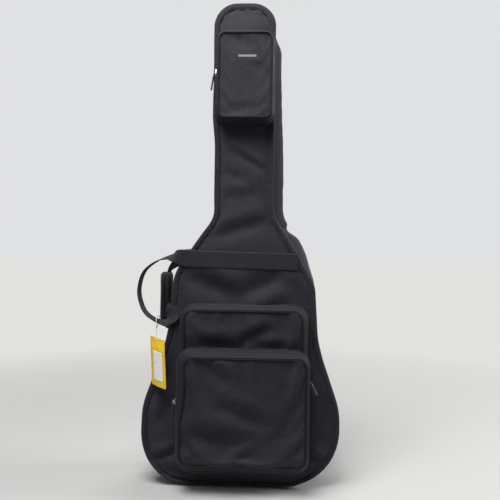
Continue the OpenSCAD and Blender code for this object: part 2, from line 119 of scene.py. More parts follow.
def resample(path, spacing, closed=True):
    """Points at equal spacing along a path, the distance along it and the unit tangents."""
    p = np.vstack([path, path[:1]]) if closed else np.asarray(path, float)
    seg = np.linalg.norm(np.diff(p, axis=0), axis=1)
    keep = np.concatenate([[True], seg > 1e-9])
    p = p[keep]
    s = np.concatenate([[0], np.cumsum(np.linalg.norm(np.diff(p, axis=0), axis=1))])
    n = max(4, int(round(s[-1] / spacing)))
    at = np.linspace(0, s[-1], n + 1)
    if closed:
        at = at[:-1]
    q = np.stack([np.interp(at, s, p[:, k]) for k in range(p.shape[1])], axis=1)
    if closed:
        t = np.roll(q, -1, axis=0) - np.roll(q, 1, axis=0)
    else:
        t = np.gradient(q, axis=0)
    t /= np.linalg.norm(t, axis=1)[:, None]
    return q, at, t


def bag_corners():
    right = [(HALF_LOWER, BASE_Z, 0.128), (HALF_LOWER, 0.175, 0.170), (HALF_UPPER + 0.0075, 0.333, 0.110),
             (HALF_UPPER, 0.475, 0.090), (HALF_NECK, 0.604, 0.095), (HALF_NECK, TOP_Z, 0.052)]
    return right + [(-x, z, r) for x, z, r in reversed(right)]


CORNERS = bag_corners()


def outline_of(corners, inset, spacing):
    """Points round a rounded outline, their distance along it and the direction inward at each."""
    q, s, t = resample(rounded(corners, inset), spacing)
    return q, s, np.stack([-t[:, 1], t[:, 0]], axis=1)


def bag_outline(inset, spacing):
    """Closed outline of the bag in the XZ plane: points, distance along, inward normals."""
    return outline_of(CORNERS, inset, spacing)


def back_surface(z):
    """How far back the back panel is at a height."""
    t = np.clip((np.asarray(z, float) - TAPER_Z) / (TOP_Z - TAPER_Z), 0, 1)
    return BACK_Y + (HEAD_BACK_Y - BACK_Y) * t


NECK_SKEW = 15 * MM


def settle(p):
    """How the soft shell sits away from its pattern: the panels wander a little and the back of the
    neck leans to the right. Nothing moves at the zip, so the sliders stay on their coils."""
    p = np.array(p, float)
    away = smooth(0.010, 0.034, np.abs(p[:, 1] - ZIP_Y))
    back = smooth(0.004, 0.034, p[:, 1] - ZIP_Y)
    z = p[:, 2]
    lean = smooth(0.578, 0.596, z) * (1 - smooth(1.0, 1.05, z))
    p[:, 0] += NECK_SKEW * back * lean
    left = smooth(0.02, 0.06, -p[:, 0])
    right = smooth(0.02, 0.06, p[:, 0])
    pulled = 4.5 * smooth(0.33, 0.38, z) * (1 - smooth(0.76, 0.84, z)) + 3.0 * bump(z, 0.604, 0.024)
    pushed = 4.0 * smooth(0.28, 0.34, z) * (1 - smooth(0.44, 0.48, z)) + 3.0 * bump(z, 0.577, 0.024) \
        - 5.0 * bump(z, 0.492, 0.026)
    p[:, 0] += away * MM * (left * pulled + right * pushed)
    corner = smooth(0.085, 0.15, -p[:, 0]) * (1 - smooth(0.030, 0.15, z))
    p[:, 0] -= away * corner * 7 * MM
    p[:, 2] -= away * corner * 5 * MM * smooth(0.004, 0.020, z)
    side = np.sign(p[:, 0]) * smooth(0.02, 0.06, np.abs(p[:, 0]))
    flat = p.copy()
    flat[:, 1] = 0
    wander = cloud(flat, 7.0, 1.0)
    p[:, 0] += away * side * 2.2 * MM * wander
    low = 1 - smooth(0.0, 0.06, z)
    p[:, 2] += away * low * (1 - corner) * (1.6 * MM * (1 + cloud(flat, 16.0, 4.0)))
    return p


# ---------------------------------------------------------------- meshes
def new_object(name, verts, faces, uv=None, mat=None, smooth_shade=True):
    mesh = bpy.data.meshes.new(name)
    mesh.from_pydata([tuple(v) for v in verts], [], faces)
    mesh.validate()
    if uv is not None:
        layer = mesh.uv_layers.new(name="cloth")
        loops = np.zeros(len(mesh.loops), dtype=np.int32)
        mesh.loops.foreach_get("vertex_index", loops)
        layer.data.foreach_set("uv", np.asarray(uv, np.float32)[loops].ravel())
    if smooth_shade:
        mesh.polygons.foreach_set("use_smooth", [True] * len(mesh.polygons))
    obj = bpy.data.objects.new(name, mesh)
    bpy.context.scene.collection.objects.link(obj)
    if mat is not None:
        mesh.materials.append(mat)
    return obj


def grid_faces(n, m, wrap_n=False, wrap_m=False):
    faces = []
    for i in range(n if wrap_n else n - 1):
        i2 = (i + 1) % n
        for j in range(m if wrap_m else m - 1):
            j2 = (j + 1) % m
            faces.append((i * m + j, i2 * m + j, i2 * m + j2, i * m + j2))
    return faces


def capped_faces(n, m, flip=False):
    """Faces of a tube of n rings of m points, with a cap on each end."""
    faces = grid_faces(n, m, False, True)
    faces.append(tuple(range(m))[::-1])
    faces.append(tuple((n - 1) * m + k for k in range(m)))
    return [f[::-1] for f in faces] if flip else faces


def grid_object(name, pts, uv, mat, wrap_n=False, wrap_m=False, flip=False, thick=0.0):
    """A sheet through an n x m grid of points; thick gives the cloth a real thickness."""
    n, m = pts.shape[:2]
    faces = grid_faces(n, m, wrap_n, wrap_m)
    if flip:
        faces = [f[::-1] for f in faces]
    obj = new_object(name, pts.reshape(-1, 3), faces, uv.reshape(-1, 2), mat)
    if thick:
        solid = obj.modifiers.new("cloth thickness", "SOLIDIFY")
        solid.thickness = thick
        solid.offset = -1
    return obj


def along(outline, profile):
    """Points of a profile carried round an outline. profile(points, s) returns inset and y, each (n, m)."""
    q, s, inward = outline
    inset, y = profile(q, s)
    x = q[:, None, 0] + inward[:, None, 0] * inset
    z = q[:, None, 1] + inward[:, None, 1] * inset
    return np.stack([x, y, z], axis=2)


def sweep(name, outline, profile, mat, closed=True, wrap_m=False, flip=False, thick=0.0,
          keep=None):
    """Sweeps a profile round an outline, with the cloth's weave following both."""
    _, s, _ = outline
    pts = along(outline, profile)
    across = np.zeros(pts.shape[:2])
    across[:, 1:] = np.cumsum(np.linalg.norm(np.diff(pts, axis=1), axis=2), axis=1)
    uv = np.stack([np.repeat(s[:, None], pts.shape[1], axis=1), across], axis=2)
    if keep is not None:
        pts, uv = pts[keep], uv[keep]
        closed = False
    n, m = pts.shape[:2]
    pts = settle(pts.reshape(-1, 3)).reshape(n, m, 3)
    return grid_object(name, pts, uv, mat, wrap_n=closed, wrap_m=wrap_m, flip=flip, thick=thick)


def tube(name, path, radius, mat, sides=8, closed=True, wobble=0.0, warp=True):
    """A round tube along a 3D path."""
    path = np.asarray(path, float)
    if warp:
        path = settle(path)
    t = (np.roll(path, -1, axis=0) - np.roll(path, 1, axis=0)) if closed else np.gradient(path, axis=0)
    t /= np.linalg.norm(t, axis=1)[:, None]
    ref = np.tile((0.0, 1.0, 0.0), (len(path), 1))
    ref[np.abs(t @ np.array((0, 1, 0))) > 0.95] = (1.0, 0.0, 0.0)
    a = np.cross(t, ref)
    a /= np.linalg.norm(a, axis=1)[:, None]
    b = np.cross(t, a)
    ang = np.linspace(0, 2 * math.pi, sides, endpoint=False)
    r = np.full(len(path), radius) if np.isscalar(radius) else np.asarray(radius)
    if wobble:
        r = r * (1 + wobble * cloud(path, 90.0, 2.0))
    pts = (path[:, None] + r[:, None, None] * (np.cos(ang)[None, :, None] * a[:, None]
                                               + np.sin(ang)[None, :, None] * b[:, None]))
    s = np.concatenate([[0], np.cumsum(np.linalg.norm(np.diff(path, axis=0), axis=1))])
    uv = np.stack(np.broadcast_arrays(s[:, None],
                                      (ang * radius if np.isscalar(radius) else ang * r.mean())[None]),
                  axis=2)
    n = len(path)
    faces = grid_faces(n, sides, closed, True)
    verts = pts.reshape(-1, 3)
    if not closed:
        verts = np.vstack([verts, path[:1], path[-1:]])
        uv = np.vstack([uv.reshape(-1, 2), uv.reshape(-1, 2)[:1], uv.reshape(-1, 2)[-1:]])
        for k in range(sides):
            k2 = (k + 1) % sides
            faces.append((n * sides, k2, k))
            faces.append((n * sides + 1, (n - 1) * sides + k, (n - 1) * sides + k2))
        return new_object(name, verts, faces, uv, mat)
    return new_object(name, verts, faces, uv.reshape(-1, 2), mat)


def ribbon(name, path, across, width, thick, mat, rib=0.0, rib_every=3.2 * MM):
    """Woven webbing along a path: across holds the width direction at each point. Ribs run across it."""
    path = np.asarray(path, float)
    across = np.asarray(across, float)
    width = np.broadcast_to(width, len(path))
    t = np.gradient(path, axis=0)
    t /= np.linalg.norm(t, axis=1)[:, None]
    across = across - t * np.sum(across * t, axis=1)[:, None]
    across /= np.linalg.norm(across, axis=1)[:, None]
    up = np.cross(t, across)
    s = np.concatenate([[0], np.cumsum(np.linalg.norm(np.diff(path, axis=0), axis=1))])
    section = [(-0.5, 0), (-0.47, 0.42), (-0.40, 0.5), (-0.2, 0.5), (0, 0.5), (0.2, 0.5), (0.40, 0.5),
               (0.47, 0.42),
               (0.5, 0), (0.47, -0.42), (0.40, -0.5), (0.2, -0.5), (0, -0.5), (-0.2, -0.5), (-0.40, -0.5),
               (-0.47, -0.42)]
    wave = 1 + rib * np.cos(2 * math.pi * s / rib_every)
    pts = np.zeros((len(path), len(section), 3))
    uv = np.zeros((len(path), len(section), 2))
    for k, (a, b) in enumerate(section):
        pts[:, k] = path + across * (a * width)[:, None] + up * (b * thick * wave)[:, None]
        uv[:, k, 0] = s
        uv[:, k, 1] = a * width
    n, m = pts.shape[:2]
    return new_object(name, pts.reshape(-1, 3), capped_faces(n, m), uv.reshape(-1, 2), mat)


def stitches(name, path, up, mat, every=4.2 * MM, length=3.0 * MM, radius=0.42 * MM, closed=False):
    """A row of short thread stitches lying on a surface whose outward normals are up."""
    path = np.asarray(path, float)
    q, _, t = resample(path, every, closed)
    up = np.asarray(up, float)
    if up.ndim == 1:
        up = np.tile(up, (len(path), 1))
    src = np.linspace(0, 1, len(path))
    u = np.stack([np.interp(np.linspace(0, 1, len(q)), src, up[:, k]) for k in range(3)], axis=1)
    u /= np.linalg.norm(u, axis=1)[:, None]
    verts, faces = [], []
    for p, d, n in zip(q, t, u):
        side = np.cross(d, n)
        base = len(verts)
        for end, r in ((-0.5, 0.35), (-0.3, 1.0), (0.3, 1.0), (0.5, 0.35)):
            for a in range(5):
                w = 2 * math.pi * a / 5
                verts.append(p + d * (end * length) + (side * math.cos(w) + n * math.sin(w)) * radius * r)
        for ring in range(3):
            for a in range(5):
                a2 = (a + 1) % 5
                faces.append((base + ring * 5 + a, base + ring * 5 + a2, base + ring * 5 + 5 + a2,
                              base + ring * 5 + 5 + a))
        faces.append(tuple(base + a for a in range(5))[::-1])
        faces.append(tuple(base + 15 + a for a in range(5)))
    return new_object(name, verts, faces, np.zeros((len(verts), 2)), mat)


# ---------------------------------------------------------------- materials
def nodes_of(name):
    mat = bpy.data.materials.new(name)
    mat.use_nodes = True
    nt = mat.node_tree
    return mat, nt, nt.nodes["Principled BSDF"]


def add(nt, kind, **inputs):
    node = nt.nodes.new(kind)
    for key, value in inputs.items():
        node.inputs[key.replace("_", " ")].default_value = value
    return node


def mixed(nt, fac, a, b):
    """Colour mix of a and b, each a socket or an RGB triple, by a socket."""
    mix = nt.nodes.new("ShaderNodeMix")
    mix.data_type = "RGBA"
    nt.links.new(fac, mix.inputs["Factor"])
    for socket, v in ((mix.inputs[6], a), (mix.inputs[7], b)):
        if isinstance(v, (tuple, list)):
            socket.default_value = (*v, 1)
        else:
            nt.links.new(v, socket)
    return mix.outputs[2]


def ramp(nt, value, lo, hi):
    """Value rescaled so that lo becomes 0 and hi becomes 1."""
    node = nt.nodes.new("ShaderNodeMapRange")
    node.inputs["From Min"].default_value = lo
    node.inputs["From Max"].default_value = hi
    nt.links.new(value, node.inputs["Value"])
    return node.outputs["Result"]


def maths(nt, op, a, b):
    node = nt.nodes.new("ShaderNodeMath")
    node.operation = op
    for socket, v in zip(node.inputs, (a, b)):
        if isinstance(v, (int, float)):
            socket.default_value = v
        else:
            nt.links.new(v, socket)
    return node.outputs[0]


def noise_value(nt, coords, scale, detail=2.0, rough=0.5):
    node = add(nt, "ShaderNodeTexNoise", Scale=scale, Detail=detail, Roughness=rough)
    nt.links.new(coords, node.inputs["Vector"])
    return node.outputs[0]


def wave_value(nt, coords, period, direction, distortion=0.0):
    node = add(nt, "ShaderNodeTexWave", Scale=2 * math.pi / (20 * period), Distortion=distortion)
    node.bands_direction = direction
    nt.links.new(coords, node.inputs["Vector"])
    return node.outputs[1]


def chain_bump(nt, bsdf, layers):
    """Bump from (socket, strength, distance) layers, one after another."""
    last = None
    for value, strength, distance in layers:
        b = add(nt, "ShaderNodeBump", Strength=strength, Distance=distance)
        nt.links.new(value, b.inputs["Height"])
        if last is not None:
            nt.links.new(last, b.inputs["Normal"])
        last = b.outputs["Normal"]
    nt.links.new(last, bsdf.inputs["Normal"])


def cloth_material(name, dark, light, period=1.1 * MM, rough=0.74, sheen=0.10, ribbed=0.0, dust=0.10):
    """Woven cloth: crossing threads, slow colour changes, handling marks, lint, a soft sheen and, when
    ribbed, painted highlights on the rib crests.
    """
    mat, nt, bsdf = nodes_of(name)
    coords = nt.nodes.new("ShaderNodeTexCoord")
    uv, obj = coords.outputs["UV"], coords.outputs["Object"]
    warp_threads = wave_value(nt, uv, period, "X", 0.3)
    weft_threads = wave_value(nt, uv, period, "Y", 0.3)
    weave = maths(nt, "MULTIPLY", warp_threads, weft_threads)
    slow = noise_value(nt, obj, 9.0, 3.0, 0.55)
    medium = noise_value(nt, obj, 70.0, 3.0, 0.6)
    fine = noise_value(nt, obj, 900.0, 2.0, 0.6)
    colour = mixed(nt, ramp(nt, slow, 0.30, 0.72), dark, light)
    colour = mixed(nt, ramp(nt, medium, 0.42, 0.85), colour, tuple(min(1, c * 1.25) for c in light))
    colour = mixed(nt, maths(nt, "MULTIPLY", weave, 0.35), colour, tuple(c * 0.45 for c in dark))
    slub = ramp(nt, noise_value(nt, obj, 240.0, 2.0, 0.6), 0.36, 0.66)
    colour = mixed(nt, maths(nt, "MULTIPLY", slub, 0.5), colour, tuple(min(1, c * 1.9) for c in light))
    lint = ramp(nt, noise_value(nt, obj, 420.0, 1.0, 0.4), 0.74, 0.80)
    colour = mixed(nt, maths(nt, "MULTIPLY", lint, dust), colour, (0.30, 0.30, 0.31))
    # Ribbed tape: the colour is painted lighter on the rib crests, a painted highlight and shade across the
    # ribs on top of their bump
    if ribbed:
        painted_rib_light = ramp(nt, wave_value(nt, uv, ribbed, "X", 0.15), 0.55, 1.0)
        colour = mixed(nt, painted_rib_light, colour, tuple(min(1, c * 2.3) for c in light))
    nt.links.new(colour, bsdf.inputs["Base Color"])
    nt.links.new(maths(nt, "ADD", maths(nt, "MULTIPLY", medium, 0.16), rough - 0.08),
                 bsdf.inputs["Roughness"])
    bsdf.inputs["Sheen Weight"].default_value = sheen
    bsdf.inputs["Sheen Roughness"].default_value = 0.45
    bsdf.inputs["Sheen Tint"].default_value = (0.78, 0.82, 0.95, 1)
    bsdf.inputs["Specular IOR Level"].default_value = 0.32
    layers = [(weave, 0.55, 0.25 * MM), (fine, 0.25, 0.15 * MM), (medium, 0.18, 0.8 * MM)]
    if ribbed:
        layers.append((wave_value(nt, uv, ribbed, "X", 0.15), 0.8, 0.6 * MM))
    chain_bump(nt, bsdf, layers)
    return mat


def plastic_material(name, base, rough=0.5, coat=0.0, speckle=0.2, metal=0.0):
    """Moulded or plated part: slight mottling, fine grain and scuffs."""
    mat, nt, bsdf = nodes_of(name)
    obj = nt.nodes.new("ShaderNodeTexCoord").outputs["Object"]
    mottle = noise_value(nt, obj, 160.0, 3.0, 0.6)
    grain = noise_value(nt, obj, 2600.0, 2.0, 0.6)
    scuff = ramp(nt, noise_value(nt, obj, 700.0, 4.0, 0.75), 0.55, 0.75)
    colour = mixed(nt, ramp(nt, mottle, 0.3, 0.75), tuple(c * 0.82 for c in base), base)
    colour = mixed(nt, maths(nt, "MULTIPLY", scuff, speckle), colour,
                   tuple(min(1, c * 1.6 + 0.03) for c in base))
    nt.links.new(colour, bsdf.inputs["Base Color"])
    nt.links.new(maths(nt, "ADD", maths(nt, "MULTIPLY", scuff, 0.22), rough), bsdf.inputs["Roughness"])
    bsdf.inputs["Metallic"].default_value = metal
    bsdf.inputs["Coat Weight"].default_value = coat
    chain_bump(nt, bsdf, [(grain, 0.25, 0.08 * MM), (mottle, 0.1, 0.3 * MM)])
    return mat


M_SHELL = cloth_material("shell_cloth", (0.0078, 0.0079, 0.0118), (0.0124, 0.0125, 0.0186))
M_POCKET = cloth_material("pocket_cloth", (0.0068, 0.0069, 0.0103), (0.0110, 0.0111, 0.0164))
# Pocket side walls: the pocket cloth painted darker, painted shade for walls that the lamps light too
# brightly
M_POCKET_SIDE_PAINTED_SHADE = cloth_material("pocket_side", (0.0038, 0.0041, 0.0064), (0.0064, 0.0068, 0.0102), sheen=0.03)
# Near-black cloth for a tube along each pocket face: a painted shadow of the seam groove between face cloth
# and piping
M_SEAM_PAINTED_SHADOW = cloth_material("seam", (0.0008, 0.0008, 0.0011), (0.0016, 0.0016, 0.0022), period=0.8 * MM,
                        sheen=0.0,
                        dust=0.0)
# ribbed= also paints highlights along the binding's ribs
M_BINDING = cloth_material("binding_tape", (0.0040, 0.0040, 0.0054), (0.0070, 0.0070, 0.0094),
                           period=0.8 * MM,
                           sheen=0.10, ribbed=4.4 * MM)
# ribbed= also paints highlights along the webbing's ribs
M_WEBBING = cloth_material("webbing", (0.0055, 0.0055, 0.0072), (0.0100, 0.0100, 0.0132), period=1.2 * MM,
                           sheen=0.10, ribbed=3.2 * MM)
# Piping painted darker than the pocket cloth: painted shade for the shadow along the piping
M_PIPING_PAINTED_SHADE = cloth_material("piping", (0.0026, 0.0030, 0.0052), (0.0046, 0.0054, 0.0086), period=0.8 * MM,
                          rough=0.55, sheen=0.02)
M_LINING = cloth_material("lining_cloth", (0.030, 0.031, 0.036), (0.048, 0.050, 0.057), period=0.9 * MM,
                          rough=0.7)
M_STRAP = cloth_material("strap_cloth", (0.0085, 0.0087, 0.0105), (0.0140, 0.0143, 0.0170), period=1.4 * MM)
M_THREAD = cloth_material("thread", (0.010, 0.010, 0.012), (0.018, 0.018, 0.021), period=0.4 * MM, rough=0.55)
M_COIL = plastic_material("zip_coil", (0.010, 0.010, 0.012), rough=0.38)
M_METAL = plastic_material("slider_metal", (0.62, 0.63, 0.66), rough=0.24, metal=1.0, speckle=0.15)
M_TAB = plastic_material("pull_tab", (0.020, 0.021, 0.025), rough=0.45)
M_TAB_GREY = plastic_material("pull_tab_grey", (0.10, 0.11, 0.14), rough=0.42)
M_BUCKLE = plastic_material("buckle", (0.014, 0.014, 0.016), rough=0.36)
M_GUARD = plastic_material("guard_rubber", (0.020, 0.020, 0.021), rough=0.72)
M_PATCH = plastic_material("patch_rubber", (0.018, 0.018, 0.020), rough=0.5)
M_PATCH_BAR = plastic_material("patch_bar", (0.22, 0.22, 0.22), rough=0.55)
M_CARD = plastic_material("tag_card", (0.80, 0.53, 0.03), rough=0.46, speckle=0.05)
M_STICKER = plastic_material("tag_sticker", (0.82, 0.82, 0.78), rough=0.6, speckle=0.05)
M_CORD = plastic_material("tag_cord", (0.80, 0.80, 0.78), rough=0.3, coat=0.3, speckle=0.05)


# ---------------------------------------------------------------- cloth simulation
def drape(obj, pinned, frames=22, grow=0.03, gravity=0.25, pressure=0.0, stiff=14.0, bend=4.0, cap=14 * MM):
    """Lets a sheet settle with its edge held: it is a little too big for its frame, so it folds and sags.
    The result is read back, each point is kept within cap of where it was, and no modifier is left."""
    group = obj.vertex_groups.new(name="pin")
    group.add([int(i) for i in np.flatnonzero(pinned)], 1.0, "REPLACE")
    mod = obj.modifiers.new("drape", "CLOTH")
    s = mod.settings
    s.quality = 7
    s.mass = 0.35
    s.tension_stiffness = stiff
    s.compression_stiffness = stiff
    s.shear_stiffness = stiff * 0.4
    s.bending_stiffness = bend
    s.air_damping = 3.0
    s.vertex_group_mass = "pin"
    s.shrink_min = -grow
    s.effector_weights.gravity = gravity
    if pressure:
        s.use_pressure = True
        s.uniform_pressure_force = pressure
    mod.collision_settings.use_collision = False
    mod.collision_settings.use_self_collision = False
    scene = bpy.context.scene
    rest = np.array([v.co for v in obj.data.vertices])
    for f in range(1, frames + 1):
        scene.frame_set(f)
    evaluated = obj.evaluated_get(bpy.context.evaluated_depsgraph_get())
    out = np.array([v.co for v in evaluated.data.vertices])
    obj.modifiers.remove(mod)
    scene.frame_set(1)
    move = out - rest
    size = np.linalg.norm(move, axis=1)
    move *= (cap * np.tanh(size / cap) / np.maximum(size, 1e-9))[:, None]
    obj.data.vertices.foreach_set("co", (rest + move).astype(np.float32).ravel())
    obj.data.update()
    obj.vertex_groups.clear()
    return rest + move


# ---------------------------------------------------------------- panels of the shell
def row_sheet(corners, inset, rows_every, columns, shift=0.0):
    """Rows across a symmetric outline: (n, m, 2) points in XZ, from the base to the top."""
    right = rounded(corners, inset)
    right = right[right[:, 0] >= shift]
    start = int(np.argmin(right[:, 1] + (right[:, 0] < shift + 1e-6)))
    right = np.roll(right, -start, axis=0)
    path, _, _ = resample(right, rows_every, closed=False)
    order = np.argsort(path[:, 1])
    path = path[order]
    u = np.linspace(-1, 1, columns)
    x = shift + (path[:, :1] - shift) * u[None]
    z = np.repeat(path[:, 1:], columns, axis=1)
    return np.stack([x, z], axis=2)


def edge_distance(points, outline):
    """Distance of 2D points to a closed outline."""
    a = outline
    b = np.roll(outline, -1, axis=0)
    best = np.full(len(points), 1e9)
    for p, q in zip(a, b):
        d = q - p
        t = np.clip(((points - p) @ d) / max(d @ d, 1e-12), 0, 1)
        best = np.minimum(best, np.linalg.norm(points - p - t[:, None] * d, axis=1))
    return best


def fold(points, start, end, width, depth):
    """A soft fold from start to end: a groove with a raised lip beside it, fading at both ends."""
    a, b = np.array(start), np.array(end)
    d = b - a
    length = np.linalg.norm(d)
    t = ((points - a) @ d) / length ** 2
    side = ((points - a) @ np.array((-d[1], d[0]))) / length
    along = np.clip(np.sin(math.pi * np.clip(t, 0, 1)), 0, 1) ** 0.8
    shape = np.exp(-(side / width) ** 2) - 0.75 * np.exp(-((side - 1.7 * width) / (1.1 * width)) ** 2)
    return depth * along * shape


# Folds of the front panel: start (x, z), end (x, z), width, depth
FRONT_FOLDS = [
    ((-0.036, 0.761), (0.060, 0.703), 0.008, 3.4 * MM),
    ((-0.054, 0.708), (0.022, 0.680), 0.012, 1.7 * MM),
    ((-0.050, 0.640), (0.045, 0.664), 0.014, 1.9 * MM),
    ((-0.086, 0.553), (0.072, 0.600), 0.017, 5.2 * MM),
    ((-0.140, 0.476), (0.004, 0.420), 0.021, 8.5 * MM),
    ((0.096, 0.480), (-0.010, 0.424), 0.019, 7.0 * MM),
    ((0.118, 0.470), (0.136, 0.392), 0.014, 4.0 * MM),
    ((-0.148, 0.450), (-0.130, 0.380), 0.013, 3.6 * MM),
    ((-0.200, 0.058), (-0.128, 0.082), 0.010, 7.5 * MM),
    ((-0.180, 0.130), (-0.150, 0.205), 0.015, 4.0 * MM),
    ((-0.172, 0.046), (-0.100, 0.030), 0.010, 4.0 * MM),
    ((0.134, 0.082), (0.204, 0.056), 0.010, 7.5 * MM),
    ((0.188, 0.226), (0.196, 0.138), 0.016, 5.0 * MM),
    ((0.110, 0.038), (0.180, 0.050), 0.010, 4.0 * MM),
]


def panel_relief(p2, seed, crown, folds):
    """How far a padded panel stands proud of its plane: a crown, soft folds and a slight unevenness."""
    edge = edge_distance(p2, rounded(CORNERS, FLANGE - 1 * MM))
    high = crown * (1 - np.exp(-edge / 0.022))
    p3 = np.column_stack([p2[:, 0], np.zeros(len(p2)), p2[:, 1]])
    soft = 2.6 * MM * cloud(p3, 9.0, seed) + 1.3 * MM * cloud(p3, 22.0,
                                                              seed + 2) + 0.3 * MM * cloud(p3, 60.0, seed + 5)
    lift = high + soft * smooth(0, 0.02, edge)
    for start, end, width, depth in folds:
        lift -= fold(p2, start, end, width, depth) * smooth(0, 0.012, edge)
    pucker = 0.7 * MM * np.exp(-edge / 0.008) * np.sin(p2[:, 1] * 330 + 2 * np.sin(p2[:, 0] * 60))
    gathers = 0.7 * MM * np.exp(-edge / 0.012) * smooth(1.02, 1.05, p2[:, 1]) * np.sin(p2[:, 0] * 260)
    sag = 6 * MM * (1 - smooth(0.030, 0.100, p2[:, 1])) * (1 - np.exp(-edge / 0.005))
    return lift + pucker + gathers + sag


def panel(name, body, mat, replaced, plane, outward, inset, crown, seed, folds, rows=5 * MM, columns=86,
          thick=1.4 * MM):
    """One big panel of the shell. plane(z) gives its y, outward is -1 for the front and 1 for the back."""
    p2 = row_sheet(CORNERS, inset, rows, columns)
    n, m = p2.shape[:2]
    flat = p2.reshape(-1, 2)
    y = plane(flat[:, 1]) + outward * panel_relief(flat, seed, crown, folds)
    pts = settle(np.column_stack([flat[:, 0], y, flat[:, 1]])).reshape(n, m, 3)
    obj = grid_object(name, pts, p2, mat, flip=outward > 0, thick=thick)
    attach(obj, body)
    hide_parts(*replaced)
    return obj


panel("front_shell_panel", "lid", M_SHELL, ["front_panel"], lambda z: np.full(len(z), FRONT_Y + 1 * MM), -1,
      2.5 * MM, 5 * MM, 3.0, FRONT_FOLDS)
BACK_FOLDS = [((-0.12, 0.30), (0.02, 0.26), 0.02, 2.5 * MM), ((0.05, 0.52), (0.13, 0.44), 0.016, 2.2 * MM),
              ((-0.05, 0.70), (0.05, 0.76), 0.014, 2.0 * MM), ((-0.05, 0.86), (0.05, 0.80), 0.012, 1.6 * MM),
              ((-0.19, 0.09), (-0.10, 0.12), 0.013, 3.0 * MM), ((0.10, 0.10), (0.19, 0.07), 0.013, 3.0 * MM)]
panel("back_shell_panel", "back_half", M_SHELL, ["back_panel"], lambda z: back_surface(z) - 1 * MM, 1,
      2.5 * MM, 2.2 * MM, 8.0, BACK_FOLDS)
panel("front_lining_panel", "lid", M_LINING, ["front_panel_lining", "front_panel_foam"],
      lambda z: np.full(len(z), FRONT_Y + PAD), 1, 15 * MM, 1.5 * MM, 14.0, [])
panel("back_lining_panel", "back_half", M_LINING, ["back_panel_lining", "back_panel_foam"],
      lambda z: back_surface(z) - PAD, -1, 15 * MM, 1.5 * MM, 17.0, [])


# ---------------------------------------------------------------- side walls, bindings and the main zip
# Swell of the back half's wall on the right: heights, and how far it stands out in mm
SWELL = np.array([
    (0.30, 0.36, 0.41, 0.45, 0.475, 0.50, 0.515, 0.530, 0.545, 0.556, 0.568, 0.586, 0.60, 0.72, 0.80, 0.84,
     0.91,
     0.96, 0.99, 1.01, 1.03, 1.05),
    (0, 2, 10, 14, 20, 26, 28.5, 31, 31.5, 28, 22, 17.5, 18, 17.5, 15, 12, 10, 10, 9, 8, 5, 0)])


def billow(q):
    """How far the back half's side wall swells past the bindings: on the right of the neck and shoulder."""
    return smooth(0.02, 0.04, q[:, 0]) * MM * np.interp(q[:, 1], SWELL[0], SWELL[1])


def wall_profile(y0, y1, inset, puff, seed, m=9, extra=None):
    """Side wall from y0 to y1, puffed outwards and creased across, like cloth over thin foam."""
    def profile(q, s):
        t = np.linspace(0, 1, m)[None]
        a = y0(q[:, 1])[:, None]
        b = y1(q[:, 1])[:, None]
        y = a + (b - a) * t
        p3 = np.column_stack([q[:, 0], np.zeros(len(q)), q[:, 1]])
        crease = 0.8 * MM * cloud(p3, 45.0, seed) + 0.9 * MM * cloud(p3, 16.0, seed + 3)
        depth = np.sin(math.pi * t)
        more = extra(q)[:, None] * depth ** 0.6 if extra else 0
        return inset - puff * depth - more + crease[:, None] * depth, y
    return profile


OUT_4 = bag_outline(0, 4 * MM)
OUT_FINE = bag_outline(0, 1.1 * MM)


def flat_y(y):
    return lambda z: np.full(len(z), y)


def dress(obj, body, replaced):
    """Rides and stands for CAD nodes, in one go."""
    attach(obj, body)
    if replaced:
        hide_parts(*replaced)
    return obj


SETBACK = 8 * MM
dress(sweep("front_side_wall", OUT_4, wall_profile(flat_y(FRONT_Y + 3 * MM), flat_y(ZIP_Y - SETBACK),
                                                   WALL_IN, 2 * MM, 21.0),
            M_SHELL, flip=True, thick=1.2 * MM), "lid", ["front_gusset"])
dress(sweep("back_side_wall", OUT_4, wall_profile(flat_y(ZIP_Y + SETBACK),
                                                  lambda z: back_surface(z) - 3 * MM, WALL_IN,
                                                   2.5 * MM, 27.0, m=15, extra=billow), M_SHELL, flip=True,
            thick=1.2 * MM),
      "back_half", ["back_gusset"])
dress(sweep("front_lining_wall", OUT_4, wall_profile(flat_y(FRONT_Y + PAD - 1 * MM),
                                                     flat_y(ZIP_Y - SETBACK - 2 * MM),
                                                     LINING_IN, -1 * MM, 31.0), M_LINING, thick=1 * MM),
      "lid", ["front_gusset_lining", "front_gusset_foam"])
dress(sweep("back_lining_wall", OUT_4, wall_profile(flat_y(ZIP_Y + SETBACK + 2 * MM),
                                                    lambda z: back_surface(z) - PAD + 1 * MM,
                                                    LINING_IN, -1 * MM, 37.0, m=13), M_LINING, thick=1 * MM),
      "back_half", ["back_gusset_lining", "back_gusset_foam"])


def lip_profile(y_wall, y_inner):
    """Strip that closes the padding between the side wall and its lining, beside the zip."""
    def profile(q, s):
        inset = np.array([WALL_IN + 0.5 * MM, WALL_IN + 3 * MM, LINING_IN - 3 * MM, LINING_IN + 0.6 * MM])
        y = np.array([y_wall, (y_wall * 2 + y_inner) / 3, (y_wall + 2 * y_inner) / 3, y_inner])
        return np.repeat(inset[None], len(q), 0), np.repeat(y[None], len(q), 0)
    return profile


dress(sweep("front_lining_lip", OUT_4, lip_profile(ZIP_Y - SETBACK, ZIP_Y - SETBACK - 2.5 * MM), M_LINING,
            thick=0.8 * MM), "lid", [])
dress(sweep("back_lining_lip", OUT_4, lip_profile(ZIP_Y + SETBACK, ZIP_Y + SETBACK + 2.5 * MM), M_LINING,
            flip=True,
            thick=0.8 * MM), "back_half", [])


